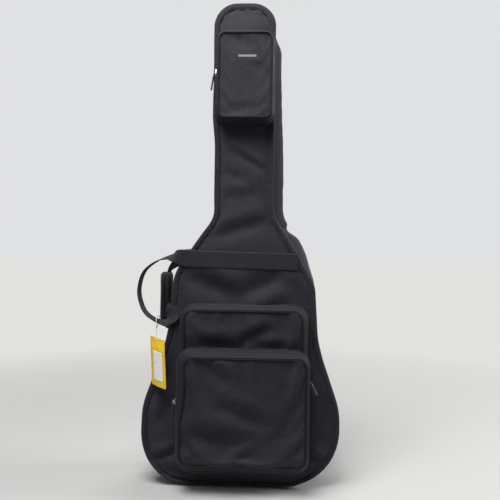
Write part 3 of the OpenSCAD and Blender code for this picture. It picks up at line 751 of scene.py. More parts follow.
def binding_profile(plane, outward, seed):
    """Ribbed tape folded over the seam: a closed loop of the two legs and the rolled edge."""
    def profile(q, s):
        p3 = np.column_stack([q[:, 0], np.zeros(len(q)), q[:, 1]])
        wave = 1.6 * MM * cloud(p3, 28.0, seed) + 0.8 * MM * cloud(p3, 85.0, seed + 4)
        base = 1 - smooth(0.0, 0.05, q[:, 1])
        wave = wave + base * (1.5 * MM * np.sin(q[:, 0] * 75) + 1.2 * MM * np.sin(q[:, 0] * 190 + 1.0))
        rib = 0.30 * MM * np.sin(2 * math.pi * s / (4.4 * MM))
        top = smooth(1.035, 1.065, q[:, 1]) * (4.5 * MM + 0.4 * MM * np.sin(q[:, 0] * 210)) * (outward < 0)
        leg = FLANGE + 0.6 * MM + wave + top
        y = plane(q[:, 1])
        # inset share of the leg, and distance outwards from the panel's plane
        loop = [(1.0, 1.0), (0.82, 2.0), (0.45, 2.2), (0.15, 1.8), (0.0, 0.4), (-0.06, -1.6), (0.04, -3.6),
                (0.35, -4.6), (0.80, -4.7), (1.0, -4.0), (0.9, -2.4), (0.9, -0.4)]
        inset = np.stack([a * leg - (rib if a < 0.2 else 0 * rib) for a, b in loop], axis=1)
        ribbed = [1 if b > 0.5 else (-1 if b < -3 else 0) for a, b in loop]
        dy = np.stack([outward * (b * MM + r * rib) for (a, b), r in zip(loop, ribbed)], axis=1)
        roll = 0.8 * MM * cloud(p3, 20.0, seed + 9)
        return inset, y[:, None] + dy + roll[:, None]
    return profile


dress(sweep("front_edge_binding", OUT_FINE, binding_profile(flat_y(FRONT_Y), -1, 41.0), M_BINDING,
            wrap_m=True),
      "lid", ["front_binding"])
dress(sweep("back_edge_binding", OUT_FINE, binding_profile(lambda z: back_surface(z), 1, 47.0), M_BINDING,
            wrap_m=True,
            flip=True), "back_half", ["back_binding"])


def seam_line(inset, plane, spacing=2 * MM):
    q, _, _ = bag_outline(inset, spacing)
    return settle(np.column_stack([q[:, 0], plane(q[:, 1]), q[:, 1]]))


dress(stitches("front_binding_stitches", seam_line(FLANGE - 2.2 * MM, flat_y(FRONT_Y - 2.3 * MM)),
               (0, -1, 0), M_THREAD,
               closed=True), "lid", [])
dress(stitches("back_binding_stitches", seam_line(FLANGE - 2.2 * MM, lambda z: back_surface(z) + 2.3 * MM),
               (0, 1, 0),
               M_THREAD, closed=True), "back_half", [])

coil_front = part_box("front_zip_coil")
COIL_IN = HALF_LOWER + coil_front[0].x
HINGE_Z = (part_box("zip_hinge_strip")[0].z - 1.5 * MM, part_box("zip_hinge_strip")[1].z + 1.5 * MM)


def away_from_hinge(q):
    """Which outline points have a zip: all but the hinge stretch at the right side of the lower bout."""
    return ~((q[:, 0] > 0.15) & (q[:, 1] > HINGE_Z[0]) & (q[:, 1] < HINGE_Z[1]))


def ordered(keep):
    """Indices of the kept points as one run, starting after the gap."""
    gap = np.flatnonzero(~keep)
    n = len(keep)
    first = (gap.max() + 1) % n
    return np.array([(first + k) % n for k in range(n) if keep[(first + k) % n]])


def zip_tape(name, body, node, side):
    def profile(q, s):
        inset = np.array([FLANGE - 1.7 * MM] * 4)
        y = ZIP_Y + side * np.array([3.0, 7.0, 11.0, 15.0]) * MM
        ripple = 0.25 * MM * np.sin(s * 500)
        return inset[None] + ripple[:, None] * np.array([0, 0.3, 1, 0.6])[None], np.repeat(y[None], len(q), 0)
    keep = ordered(away_from_hinge(OUT_4[0]))
    obj = sweep(name, OUT_4, profile, M_BINDING, keep=keep, flip=side > 0, thick=0.6 * MM)
    dress(obj, body, [node])


def zip_coil_mesh(name, path, inward, side_y, mat, pitch=1.9 * MM, near=0.8):
    """Coil teeth: each is a short ridge across the coil, on a thin core. near is the gap in mm left to the
    zip's middle plane: the main zip's coils meet there, so no light shows through the bag."""
    q, _, t = resample(path, pitch, closed=False)
    idx = np.linspace(0, 1, len(q))
    inn = np.stack([np.interp(idx, np.linspace(0, 1, len(inward)), inward[:, k]) for k in range(3)], axis=1)
    wide = near + 0.8
    section = [(0.1, near), (0.0, wide), (0.3, 2.5), (0.5, 3.1), (2.0, 3.1), (2.2, 2.4), (2.3, wide),
               (2.0, near)]
    rows = []
    for k in range(len(q)):
        for off, size in ((-0.5, 0.55), (-0.2, 1.0), (0.15, 1.0), (0.42, 0.55)):
            rows.append((q[k] + t[k] * pitch * off, inn[k], size))
    pts = np.zeros((len(rows), len(section), 3))
    for i, (p, n, size) in enumerate(rows):
        for j, (a, b) in enumerate(section):
            a2 = 1.15 + (a - 1.15) * size
            b2 = near + (b - near) * (0.75 + 0.25 * size)
            pts[i, j] = p + n * a2 * MM + np.array((0, side_y * b2 * MM, 0))
    uv = np.zeros((len(rows), len(section), 2))
    n, m = pts.shape[:2]
    faces = grid_faces(n, m, False, True)
    faces.append(tuple(range(m)))
    faces.append(tuple((n - 1) * m + k for k in range(m))[::-1])
    if side_y > 0:
        faces = [f[::-1] for f in faces]
    return new_object(name, pts.reshape(-1, 3), faces, uv.reshape(-1, 2), mat)


def main_coil(name, body, node, side):
    q, _, inward = bag_outline(COIL_IN, 4 * MM)
    run = ordered(away_from_hinge(q))
    path = np.column_stack([q[run, 0], np.full(len(run), ZIP_Y), q[run, 1]])
    inn = np.column_stack([inward[run, 0], np.zeros(len(run)), inward[run, 1]])
    dress(zip_coil_mesh(name, path, inn, side, M_COIL, near=0.02), body, [node])


zip_tape("front_zip_tape_cloth", "lid", "front_zip_tape", -1)
zip_tape("back_zip_tape_cloth", "back_half", "back_zip_tape", 1)
main_coil("front_coil_teeth", "lid", "front_zip_coil", -1)
main_coil("back_coil_teeth", "back_half", "back_zip_coil", 1)


def hinge_cloth():
    """The cloth hinge beside the lower bout: one strip from the back half to the lid, baked in place."""
    q, s, inward = OUT_4
    run = np.flatnonzero((q[:, 0] > 0.15) & (q[:, 1] > HINGE_Z[0] - 4 * MM) & (q[:, 1] < HINGE_Z[1] + 4 * MM))
    y = ZIP_Y + np.linspace(-20, 20, 21) * MM
    inset = FLANGE - 1.7 * MM - 0.5 * MM * np.cos(np.linspace(-math.pi, math.pi, 21))
    pts = np.zeros((len(run), 21, 3))
    for i, k in enumerate(run):
        pts[i, :, 0] = q[k, 0] + inward[k, 0] * inset
        pts[i, :, 1] = y
        pts[i, :, 2] = q[k, 1] + inward[k, 1] * inset
    uv = np.stack(np.broadcast_arrays(s[run][:, None], y[None]), axis=2)
    obj = grid_object("hinge_cloth_strip", pts, uv, M_SHELL, flip=True, thick=1 * MM)
    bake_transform(obj)
    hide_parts("zip_hinge_strip")


hinge_cloth()


# ---------------------------------------------------------------- pockets
class Pocket:
    """Sizes of one pocket, read from its CAD nodes and joints."""

    def __init__(self, key, base_out, face_in, radius, rise=0.0):
        lo_g, hi_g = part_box(key + "_zip")
        lo_f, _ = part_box(key + "_face")
        self.key = key
        self.centre = (lo_g.x + hi_g.x) / 2
        self.half = (hi_g.x - lo_g.x) / 2 + 0.4 * MM
        self.low, self.top = lo_g.z - 0.4 * MM, hi_g.z + 0.4 * MM
        self.base_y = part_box(key + "_gusset")[1].y
        self.zip_y = lo_g.y - 0.8 * MM
        self.face_y = lo_f.y
        joint = JOINTS[key.replace("_pocket", "") + "_flap_fold"]
        self.fold_z = joint["pos_m"][2]
        self.flap = joint["child"]
        self.base_out, self.face_in, self.radius = base_out, face_in, radius
        self.pipe = 2.6 * MM if self.half > 0.1 else 2.1 * MM
        self.rise = rise

    def corners(self):
        x0, x1, r = self.centre - self.half, self.centre + self.half, self.radius
        return [(x1, self.low, r), (x1, self.top, r), (x0, self.top, r), (x0, self.low, r)]

    def outline(self, inset, spacing):
        return outline_of(self.corners(), inset, spacing)

    def hang(self, pts):
        """How the pocket's box is pulled out of square: towards the face its floor rises and its left
        side leans in. Nothing moves on the zip line beside the slider."""
        pts = np.array(pts, float)
        if not self.rise:
            return pts
        x, y, z = pts[:, 0] - self.centre, pts[:, 1], pts[:, 2]
        depth = np.clip((self.base_y - y) / (self.base_y - self.face_y), 0, 1.15)
        face = smooth(0, 1, (self.zip_y - y) / (self.zip_y - self.face_y))
        low_out, lean_in, right_out = -2, 9.5, 7.0
        left = smooth(0.03, 0.12, -x) * (low_out + lean_in * smooth(0.13, 0.25, z))
        right = right_out * smooth(0.03, 0.12, x)
        pts[:, 0] += face * MM * (left + right)
        pts[:, 2] += self.rise * depth ** 0.6 * (1 - smooth(self.low + 0.020, self.low + 0.135, z))
        return pts

    def bend(self, obj):
        """Bakes the placement of a piece that crosses the fold into its mesh; it is attached to neither the
        lid nor the flap.
        """
        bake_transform(obj)


POCKETS = {
    "head_pocket": Pocket("head_pocket", 1.5 * MM, 5 * MM, 0.020),
    "large_pocket": Pocket("large_pocket", 2 * MM, 11 * MM, 0.034),
    "small_pocket": Pocket("small_pocket", 1 * MM, 12 * MM, 0.032, 20 * MM),
}
# Folds of each pocket's face: start and end (x, z) as shares of its half width and height, width, depth
POCKET_FOLDS = {
    "head_pocket": [((-0.7, 0.10), (0.6, 0.16), 0.012, 1.4 * MM),
                    ((-0.6, 0.93), (0.3, 0.80), 0.014, 1.8 * MM),
                    ((0.3, 0.70), (0.8, 0.45), 0.012, 1.0 * MM)],
    "large_pocket": [((-0.92, 0.765), (0.06, 0.745), 0.017, 7.5 * MM),
                     ((-0.06, 0.775), (0.50, 0.870), 0.014, 6.0 * MM),
                     ((-0.95, 0.90), (-0.70, 0.80), 0.010, 2.6 * MM),
                     ((0.10, 0.755), (0.80, 0.745), 0.012, 4.0 * MM)],
    "small_pocket": [((-0.74, 0.99), (-0.20, 0.74), 0.016, 7.0 * MM),
                     ((-0.44, 0.60), (0.46, 0.42), 0.017, 8.0 * MM),
                     ((-0.98, 0.34), (0.16, 0.24), 0.026, 9.0 * MM),
                     ((0.16, 0.27), (-0.34, 0.02), 0.013, -4.5 * MM),
                     ((0.60, 0.80), (0.66, 0.38), 0.014, 3.0 * MM),
                     ((-0.95, 0.62), (-0.70, 0.50), 0.012, 2.4 * MM)],
}


def patch_place():
    """Centre and half size of the patch on the head pocket."""
    lo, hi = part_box("head_pocket_patch")
    return ((lo.x + hi.x) / 2, (lo.z + hi.z) / 2), ((hi.x - lo.x) / 2, (hi.z - lo.z) / 2)


def stiffen(co):
    """The rubber patch is sewn on and stiff, so the cloth under it lies flat."""
    (cx, cz), (hw, hh) = patch_place()
    dx = np.maximum(np.abs(co[:, 0] - cx) - hw, 0)
    dz = np.maximum(np.abs(co[:, 2] - cz) - hh, 0)
    away = np.hypot(dx, dz)
    level = co[away == 0, 1].mean()
    co[:, 1] += (level - co[:, 1]) * (1 - smooth(1 * MM, 12 * MM, away))
    return co


def pocket_face(p, crown, seed, grow, pressure):
    """The pocket's face: an oversize sheet held at its piping, then crowned, sagged and folded."""
    spacing = 5 * MM if p.half > 0.1 else 3.4 * MM
    inner = p.face_in - 0.5 * MM
    right = rounded(p.corners(), inner)
    lo, hi = p.low + inner, p.top - inner
    rows = int((hi - lo) / spacing)
    z = lo + (hi - lo) * (0.5 - 0.5 * np.cos(math.pi * np.linspace(0, 1, rows + 1))) * 0.35 \
        + (hi - lo) * np.linspace(0, 1, rows + 1) * 0.65
    r = p.radius - inner
    reach = np.where(z < lo + r, lo + r - z, np.where(z > hi - r, z - hi + r, 0))
    half = p.half - inner - r + np.sqrt(np.maximum(r * r - reach ** 2, 0))
    columns = int(2 * p.half / spacing)
    u = np.linspace(-1, 1, columns)
    x = p.centre + half[:, None] * u[None]
    zz = np.repeat(z[:, None], columns, axis=1)
    flat = np.column_stack([x.ravel(), zz.ravel()])
    edge = edge_distance(flat, right)
    y = p.face_y - crown * (1 - np.exp(-edge / 0.030))
    pts = np.column_stack([flat[:, 0], y, flat[:, 1]]).reshape(rows + 1, columns, 3)
    obj = grid_object(p.key + "_face_cloth", pts, np.stack([x, zz], axis=2), M_POCKET)
    drape(obj, edge < 1 * MM, grow=grow, pressure=pressure)
    co = np.array([v.co for v in obj.data.vertices])
    relief = 1.6 * MM * cloud(co, 17.0, seed + 7) + 0.8 * MM * cloud(co, 34.0,
                                                                     seed) + 0.2 * MM * cloud(co, 80.0, seed)
    for (ax, az), (bx, bz), width, depth in POCKET_FOLDS[p.key]:
        start = (p.centre + ax * p.half, p.low + az * (p.top - p.low))
        end = (p.centre + bx * p.half, p.low + bz * (p.top - p.low))
        relief += fold(flat, start, end, width, depth)
    co[:, 1] += relief * smooth(0, 0.014, edge)
    co = p.hang(co)
    if p.key == "head_pocket":
        co = stiffen(co)
    obj.data.vertices.foreach_set("co", co.astype(np.float32).ravel())
    p.cloth = co
    solid = obj.modifiers.new("cloth thickness", "SOLIDIFY")
    solid.thickness = 1.2 * MM
    solid.offset = -1
    sub = obj.modifiers.new("smooth", "SUBSURF")
    sub.levels = sub.render_levels = 1
    p.bend(obj)
    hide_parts(p.key + "_face", p.key + "_flap")
    return obj


def pocket_side(p, key, y_from, y_to, in_from, in_to, seed, puff=1.2 * MM):
    outline = p.outline(0, 4 * MM)

    def profile(q, s):
        t = np.linspace(0, 1, 6)[None]
        p3 = np.column_stack([q[:, 0], np.zeros(len(q)), q[:, 1]])
        crease = (0.7 * MM * cloud(p3, 40.0, seed))[:, None] * np.sin(math.pi * t)
        return (in_from + (in_to - in_from) * t - puff * np.sin(math.pi * t) + crease,
                np.repeat(y_from + (y_to - y_from) * t, len(q), 0))
    pts = along(outline, profile)
    uv = np.stack(np.broadcast_arrays(outline[1][:, None], pts[:1, :, 1]), axis=2)
    pts = p.hang(pts.reshape(-1, 3)).reshape(pts.shape)
    # The walls take the painted-shade copy of the pocket cloth
    return grid_object(key, pts, uv, M_POCKET_SIDE_PAINTED_SHADE, wrap_n=True, flip=y_to > y_from, thick=1 * MM)


def pocket_tube(p, name, inset, y, radius, mat=M_PIPING_PAINTED_SHADE, spacing=3 * MM):
    q, _, _ = p.outline(inset, spacing)
    path = np.column_stack([q[:, 0], np.full(len(q), y), q[:, 1]])
    sway = np.column_stack([q[:, 0], np.zeros(len(q)), q[:, 1]])
    path[:, 1] += 0.5 * MM * cloud(sway, 22.0, 5.0)
    path = p.hang(path)
    return tube(name, path, radius, mat, sides=8, wobble=0.05, warp=False)


def pocket_coil(p, name, side):
    """Coil half of a pocket zip; the face side half starts at the fold."""
    q, _, inward = p.outline(0.4 * MM, 4 * MM)
    n = len(q)
    start = int(np.argmin(q[:, 1] + (q[:, 0] < p.centre)))
    run = (np.arange(n) + start) % n
    if side < 0:
        keep = q[run, 1] > p.fold_z + 1 * MM
        run = run[keep]
    path = p.hang(np.column_stack([q[run, 0], np.full(len(run), p.zip_y), q[run, 1]]))
    inn = np.column_stack([inward[run, 0], np.zeros(len(run)), inward[run, 1]])
    return zip_coil_mesh(name, path, inn, side, M_COIL, pitch=1.7 * MM)


def build_pocket(p, crown, seed, grow, pressure):
    key = p.key
    pocket_face(p, crown, seed, grow, pressure)
    piping = pocket_tube(p, key + "_face_piping", p.face_in - 0.6 * MM, p.face_y + 0.2 * MM, p.pipe)
    p.bend(piping)
    # Near-black tube just inside the piping: painted shadow of the seam groove
    seam = pocket_tube(p, key + "_face_seam", p.face_in + p.pipe - 0.1 * MM, p.face_y - 1.5 * MM, 2.1 * MM,
                       M_SEAM_PAINTED_SHADOW)
    p.bend(seam)
    front = pocket_side(p, key + "_front_wall", p.zip_y - 3.6 * MM, p.face_y + 1 * MM, 0.6 * MM, p.face_in,
                        seed + 1)
    p.bend(front)
    rear = pocket_side(p, key + "_rear_wall", p.base_y, p.zip_y + 3.6 * MM, -p.base_out, 0.6 * MM, seed + 2)
    dress(rear, "lid", [key + "_gusset"])
    base = pocket_tube(p, key + "_base_piping", -p.base_out - 0.5 * MM, p.base_y - 1.2 * MM, 1.9 * MM)
    dress(base, "lid", [])
    dress(pocket_coil(p, key + "_coil", 1), "lid", [key + "_zip"])
    dress(pocket_coil(p, key + "_flap_coil", -1), p.flap, [key + "_flap_zip"])


build_pocket(POCKETS["head_pocket"], 2 * MM, 51.0, 0.0012, 0.15)
build_pocket(POCKETS["large_pocket"], 5 * MM, 57.0, 0.014, 0.8)
build_pocket(POCKETS["small_pocket"], 12 * MM, 63.0, 0.014, 1.2)


def plate(name, centre, half, y, rings, mat):
    """Small moulded rectangle facing forward: rings of (inset, distance behind y), both in mm."""
    (cx, cz), (hw, hh) = centre, half
    edge = rounded([(hw, -hh, 1.2 * MM), (hw, hh, 1.2 * MM), (-hw, hh, 1.2 * MM), (-hw, -hh, 1.2 * MM)], 0,
                   math.radians(20))
    pts = np.array([np.column_stack([cx + edge[:, 0] * (1 - inset * MM / hw),
                                     np.full(len(edge), y + back * MM),
                                     cz + edge[:, 1] * (1 - inset * MM / hh)]) for inset, back in rings])
    n, m = pts.shape[:2]
    return new_object(name, pts.reshape(-1, 3), capped_faces(n, m), np.zeros((n * m, 2)), mat,
                      smooth_shade=False)


def label_patch():
    """Blank soft rubber patch with a raised rim and one plain pale bar, lying on the pocket's cloth."""
    p = POCKETS["head_pocket"]
    (cx, cz), (hw, hh) = patch_place()
    under = (np.abs(p.cloth[:, 0] - cx) < hw) & (np.abs(p.cloth[:, 2] - cz) < hh)
    y = p.cloth[under, 1].min() - 1.3 * MM
    patch = plate("blank_rubber_patch", (cx, cz), (hw, hh), y,
                  ((0, 1.9), (0, 0.4), (0.3, 0.0), (1.0, 0.0), (1.3, 0.35), (3.0, 0.35)), M_PATCH)
    dress(patch, p.flap, ["head_pocket_patch"])
    bar = plate("plain_patch_bar", (cx + 0.16 * hw, cz), (hw * 0.66, hh * 0.34), y,
                ((0, 0.6), (0, 0.15), (0.2, 0.0), (1.0, 0.0)), M_PATCH_BAR)
    dress(bar, p.flap, [])


label_patch()


# ---------------------------------------------------------------- sliders and pulls
def bevel(name, mat, width=0.45 * MM):
    obj = NODES[name]
    obj.data.materials.clear()
    obj.data.materials.append(mat)
    mod = obj.modifiers.new("soft edges", "BEVEL")
    mod.width = width
    mod.segments = 2
    mod.limit_method = "ANGLE"
    mod.angle_limit = math.radians(35)


for slider in ("upper_main_slider", "lower_main_slider", "head_slider", "large_slider", "small_slider",
               "upper_main_pull", "lower_main_pull"):
    bevel(slider, M_METAL, 0.3 * MM)


def pull(node, body, mat, side, tilt=0.0, twist=0.0):
    """A metal ring on the slider's bar with a moulded tab crimped on it; side is -1 on the left. tilt is how
    far the tab leans out from the wall, pushed by the cloth below it, and twist turns it to the front."""
    lo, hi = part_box(node)
    joint = [j for j in frame["joints"] if j["child"] == body][0]
    bar = np.array(joint["pos_m"])
    ang = np.linspace(0, 2 * math.pi, 22, endpoint=False)
    ring_r = 3.0 * MM
    ring = np.column_stack([np.full(len(ang), bar[0] + side * 0.4 * MM), bar[1] + 2.2 * MM * np.cos(ang),
                            bar[2] - 2.4 * MM + ring_r * 1.2 * np.sin(ang)])
    turn = Matrix.Rotation(-side * tilt, 3, "Y") @ Matrix.Rotation(twist, 3, "Z")

    def leant(pts):
        return np.array([bar + np.array(turn @ Vector(p - bar)) for p in pts])
    ring_obj = tube(node + "_ring", leant(ring), 0.65 * MM, M_METAL, sides=8, warp=False)
    dress(ring_obj, body, [])
    width = (hi.y - lo.y) / 2
    top, bottom = bar[2] - 5.0 * MM, lo.z
    shape = rounded([(width, bottom, 1.9 * MM), (width * 0.92, top, 1.6 * MM), (-width * 0.92, top, 1.6 * MM),
                     (-width, bottom, 1.9 * MM)], 0, math.radians(18))
    cz = (top + bottom) / 2
    layers = [(0.86, -1.3), (1.0, -0.8), (1.0, 0.8), (0.86, 1.3), (0.62, 1.3), (0.60, 0.9)]
    rows = []
    for k, dx in layers:
        zc = cz + (shape[:, 1] - cz) * (0.94 + 0.06 * k if k > 0.8 else 0.86)
        rows.append(np.column_stack([np.full(len(shape), bar[0] + side * (dx + 0.2) * MM),
                                     bar[1] + shape[:, 0] * k, zc]))
    pts = np.array(rows)
    n, m = pts.shape[:2]
    faces = capped_faces(n, m, flip=side > 0)
    tab = new_object(node + "_tab", leant(pts.reshape(-1, 3)), faces, np.zeros((n * m, 2)), mat,
                     smooth_shade=False)
    mod = tab.modifiers.new("soft edges", "BEVEL")
    mod.width = 0.3 * MM
    mod.segments = 2
    mod.limit_method = "ANGLE"
    dress(tab, body, [node])


pull("head_pull", "head_zip_pull", M_TAB, -1, math.radians(9))
pull("large_pull", "large_zip_pull", M_TAB_GREY, 1, math.radians(26), math.radians(50))
pull("small_pull", "small_zip_pull", M_TAB, -1, math.radians(5))


# ---------------------------------------------------------------- webbing, handles and straps
def curve_points(keys, spacing=1.6 * MM):
    """Smooth path through key points (any dimension), by a centripetal Catmull-Rom curve."""
    k = np.asarray(keys, float)
    k = np.vstack([2 * k[0] - k[1], k, 2 * k[-1] - k[-2]])
    out = []
    for i in range(1, len(k) - 2):
        p0, p1, p2, p3 = k[i - 1], k[i], k[i + 1], k[i + 2]
        t0 = 0.0
        t1 = t0 + max(np.linalg.norm(p1[:3] - p0[:3]), 1e-6) ** 0.5
        t2 = t1 + max(np.linalg.norm(p2[:3] - p1[:3]), 1e-6) ** 0.5
        t3 = t2 + max(np.linalg.norm(p3[:3] - p2[:3]), 1e-6) ** 0.5
        steps = max(2, int(np.linalg.norm(p2[:3] - p1[:3]) / spacing))
        for t in np.linspace(t1, t2, steps, endpoint=False):
            a1 = (t1 - t) / (t1 - t0) * p0 + (t - t0) / (t1 - t0) * p1
            a2 = (t2 - t) / (t2 - t1) * p1 + (t - t1) / (t2 - t1) * p2
            a3 = (t3 - t) / (t3 - t2) * p2 + (t - t2) / (t3 - t2) * p3
            b1 = (t2 - t) / (t2 - t0) * a1 + (t - t0) / (t2 - t0) * a2
            b2 = (t3 - t) / (t3 - t1) * a2 + (t - t1) / (t3 - t1) * a3
            out.append((t2 - t) / (t2 - t1) * b1 + (t - t1) / (t2 - t1) * b2)
    out.append(k[-2])
    return np.array(out)


band_lo, band_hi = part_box("front_band")
BAND_Z = (band_lo.z + band_hi.z) / 2
BAND_W = band_hi.z - band_lo.z
BAND_T = band_hi.y - band_lo.y


def front_lift(x, z):
    """How far the front panel's cloth stands in front of its plane at a point."""
    return panel_relief(np.column_stack([x, z]), 3.0, 5 * MM, FRONT_FOLDS)


def front_band_and_loop():
    """Webbing sewn across the front, then over the left edge, twisted into the carrying loop and sewn
    down again lower on the edge. The loop is baked in place, attached to neither the lid nor the loop's body."""
    x = np.linspace(band_hi.x - 5 * MM, band_lo.x + 6 * MM, 190)
    z = BAND_Z - 0.010 * (x - band_lo.x) / (band_hi.x - band_lo.x) + 0.0016 * np.sin(x * 14)
    y = FRONT_Y - np.max([front_lift(x, z + k * BAND_W) for k in (-0.45, -0.2, 0, 0.2, 0.45)],
                         axis=0) - 0.6 * MM
    y = np.convolve(np.pad(y, 12, mode="edge"), np.ones(25) / 25, "valid") - 0.6 * MM
    path = np.column_stack([x, y, z])
    across = np.tile((0.0, 0.0, 1.0), (len(path), 1))
    band = ribbon("front_cross_band", path, across, BAND_W, 2.0 * MM, M_WEBBING, rib=0.10)
    dress(band, "lid", ["front_band"])
    for k, zz in enumerate((BAND_Z + BAND_W / 2 - 2.2 * MM, BAND_Z - BAND_W / 2 + 2.2 * MM)):
        line = path[::3].copy()
        line[:, 2] += zz - BAND_Z
        line[:, 1] -= 1.15 * MM
        dress(stitches(f"front_band_stitches_{k}", line, (0, -1, 0), M_THREAD), "lid", [])
    lo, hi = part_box("front_handle")
    edge_x = path[-1, 0]
    cy = (lo.y + hi.y) / 2
    top_x = hi.x
    # x, y, z of the centre line, then the width direction
    keys = [
        (edge_x + 0.030, path[-16, 1] - 0.2 * MM, path[-16, 2], 0, 0, 1),
        (edge_x, path[-1, 1] - 0.5 * MM, path[-1, 2], 0, 0, 1),
        (edge_x - 0.018, FRONT_Y - 6 * MM, BAND_Z + 1 * MM, 0.05, 0.0, 1),
        (edge_x - 0.030, FRONT_Y - 4 * MM, BAND_Z + 2 * MM, 0.25, 0.45, 0.85),
        (top_x + 0.004, cy - 8 * MM, hi.z - 1 * MM, 0.15, 0.9, 0.45),
        (lo.x + 0.045, cy, hi.z - 10 * MM, 0, 1, 0.05),
        (lo.x + 0.013, cy, lo.z + 0.116, 0, 1, 0),
        (lo.x + 1.3 * MM, cy, (lo.z + hi.z) / 2, 0, 1, 0),
        (lo.x + 0.0045, cy, lo.z + 0.049, 0, 1, 0),
        (lo.x + 0.017, cy, lo.z + 0.022, 0, 1, 0),
        (lo.x + 0.040, cy - 2 * MM, lo.z + 0.006, 0.0, 1, 0.05),
        (hi.x - 0.008, cy - 8 * MM, lo.z + 2 * MM, -0.1, 0.85, 0.35),
        (hi.x + 0.005, FRONT_Y - 5 * MM, lo.z + 12 * MM, -0.35, 0.4, 0.8),
        (hi.x + 0.014, FRONT_Y - 6 * MM, lo.z + 27 * MM, -0.75, 0, 0.55),
        (hi.x + 0.019, FRONT_Y - 5 * MM, lo.z + 42 * MM, -0.85, 0, 0.4),
    ]
    k = curve_points(keys)
    turn = np.linspace(0, 1, len(k))
    width = BAND_W * (1 - 0.36 * bump(turn, 0.19, 0.05) - 0.30 * bump(turn, 0.87, 0.06))
    loop = ribbon("front_carry_loop", k[:, :3], k[:, 3:], width, BAND_T * 0.85, M_WEBBING, rib=0.10)
    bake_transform(loop)
    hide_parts("front_handle")


front_band_and_loop()


def rear_band_and_loop():
    """Webbing across the back, and the rear loop that the padded wrap closes round."""
    lo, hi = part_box("back_band")
    z0 = (lo.z + hi.z) / 2
    x = np.linspace(hi.x - 13 * MM, lo.x + 4 * MM, 170)
    y = back_surface(np.full(len(x), z0)) + panel_relief(np.column_stack([x, np.full(len(x), z0)]), 8.0,
                                                         2.2 * MM,
                                                        BACK_FOLDS) + 0.8 * MM
    path = np.column_stack([x, np.convolve(np.pad(y, 12, mode="edge"), np.ones(25) / 25, "valid"),
                            np.full(len(x), z0)])
    band = ribbon("back_cross_band", path, np.tile((0.0, 0.0, 1.0), (len(path), 1)), hi.z - lo.z, 2 * MM,
                  M_WEBBING,
                  rib=0.10)
    dress(band, "back_half", ["back_band"])
    lo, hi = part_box("rear_handle")
    cy = (lo.y + hi.y) / 2
    edge = path[-1]
    keys = [
        (edge[0] + 0.020, edge[1] + 0.3 * MM, edge[2], 0, 0, 1),
        (edge[0] - 0.010, edge[1] + 1 * MM, edge[2], 0, 0, 1),
        (edge[0] - 0.024, edge[1] - 5 * MM, edge[2] - 2 * MM, -0.2, -0.4, 0.8),
        (hi.x - 8 * MM, cy + 6 * MM, hi.z - 6 * MM, 0, -0.95, 0.25),
        (lo.x + 3 * MM, cy, hi.z - 0.034, 0, -1, 0),
        (lo.x + 1.3 * MM, cy, (lo.z + hi.z) / 2, 0, -1, 0),
        (lo.x + 3 * MM, cy, lo.z + 0.034, 0, -1, 0),
        (hi.x - 8 * MM, cy + 5 * MM, lo.z + 4 * MM, 0.1, -0.9, 0.2),
        (hi.x + 2 * MM, BACK_Y + 2 * MM, lo.z + 2 * MM, 0.5, -0.2, 0.6),
        (hi.x + 0.014, BACK_Y + 4.5 * MM, lo.z + 14 * MM, 0.75, 0, 0.5),
    ]
    k = curve_points(keys)
    loop = ribbon("rear_carry_loop", k[:, :3], k[:, 3:], hi.y - lo.y, 2.2 * MM, M_WEBBING, rib=0.10)
    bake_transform(loop)
    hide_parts("rear_handle")


rear_band_and_loop()


def handle_wrap():
    """Padded wrap folded round the rear loop: two soft rolls with a groove between them."""
    lo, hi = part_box("handle_wrap")
    cx, cy = (lo.x + hi.x) / 2, (lo.y + hi.y) / 2
    hx, hy = (hi.x - lo.x) / 2, (hi.y - lo.y) / 2
    rows, cols = 46, 60
    pts = np.zeros((rows, cols, 3))
    for i in range(rows):
        t = i / (rows - 1)
        z = lo.z + (hi.z - lo.z) * t
        end = 1 - 0.30 * math.exp(-t / 0.03) - 0.30 * math.exp(-(1 - t) / 0.03)
        for j in range(cols):
            a = 2 * math.pi * j / cols
            cs, sn = math.cos(a), math.sin(a)
            rx = hx * abs(cs) ** 0.75 * math.copysign(1, cs)
            ry = hy * abs(sn) ** 0.75 * math.copysign(1, sn)
            groove = 1 - 0.20 * math.exp(-((cs - 0.05) / 0.16) ** 2) * (sn < 0)
            seam = 1 - 0.16 * math.exp(-((sn + 0.05) / 0.12) ** 2) * (cs < 0)
            w = 1 + 0.05 * noise.noise(Vector((rx * 60, ry * 60, z * 26)))
            pts[i, j] = (cx + rx * end * w * seam, cy + ry * end * groove * w, z)
    uv = np.stack(np.broadcast_arrays(np.linspace(0, 0.112, rows)[:, None],
                                      np.linspace(0, 0.15, cols)[None]), axis=2)
    faces = grid_faces(rows, cols, False, True)
    verts = pts.reshape(-1, 3)
    faces.append(tuple(range(cols)))
    faces.append(tuple((rows - 1) * cols + k for k in range(cols))[::-1])
    obj = new_object("padded_handle_wrap", verts, faces, uv.reshape(-1, 2), M_STRAP)
    dress(obj, "rear_loop", ["handle_wrap"])
    for k, j in enumerate((int(cols * 0.56), int(cols * 0.44))):
        line = pts[2:-2, j] + np.array((-0.4 * MM, 0, 0))
        dress(stitches(f"wrap_stitches_{k}", line, (-1, 0, 0), M_THREAD, every=4 * MM), "rear_loop", [])


handle_wrap()


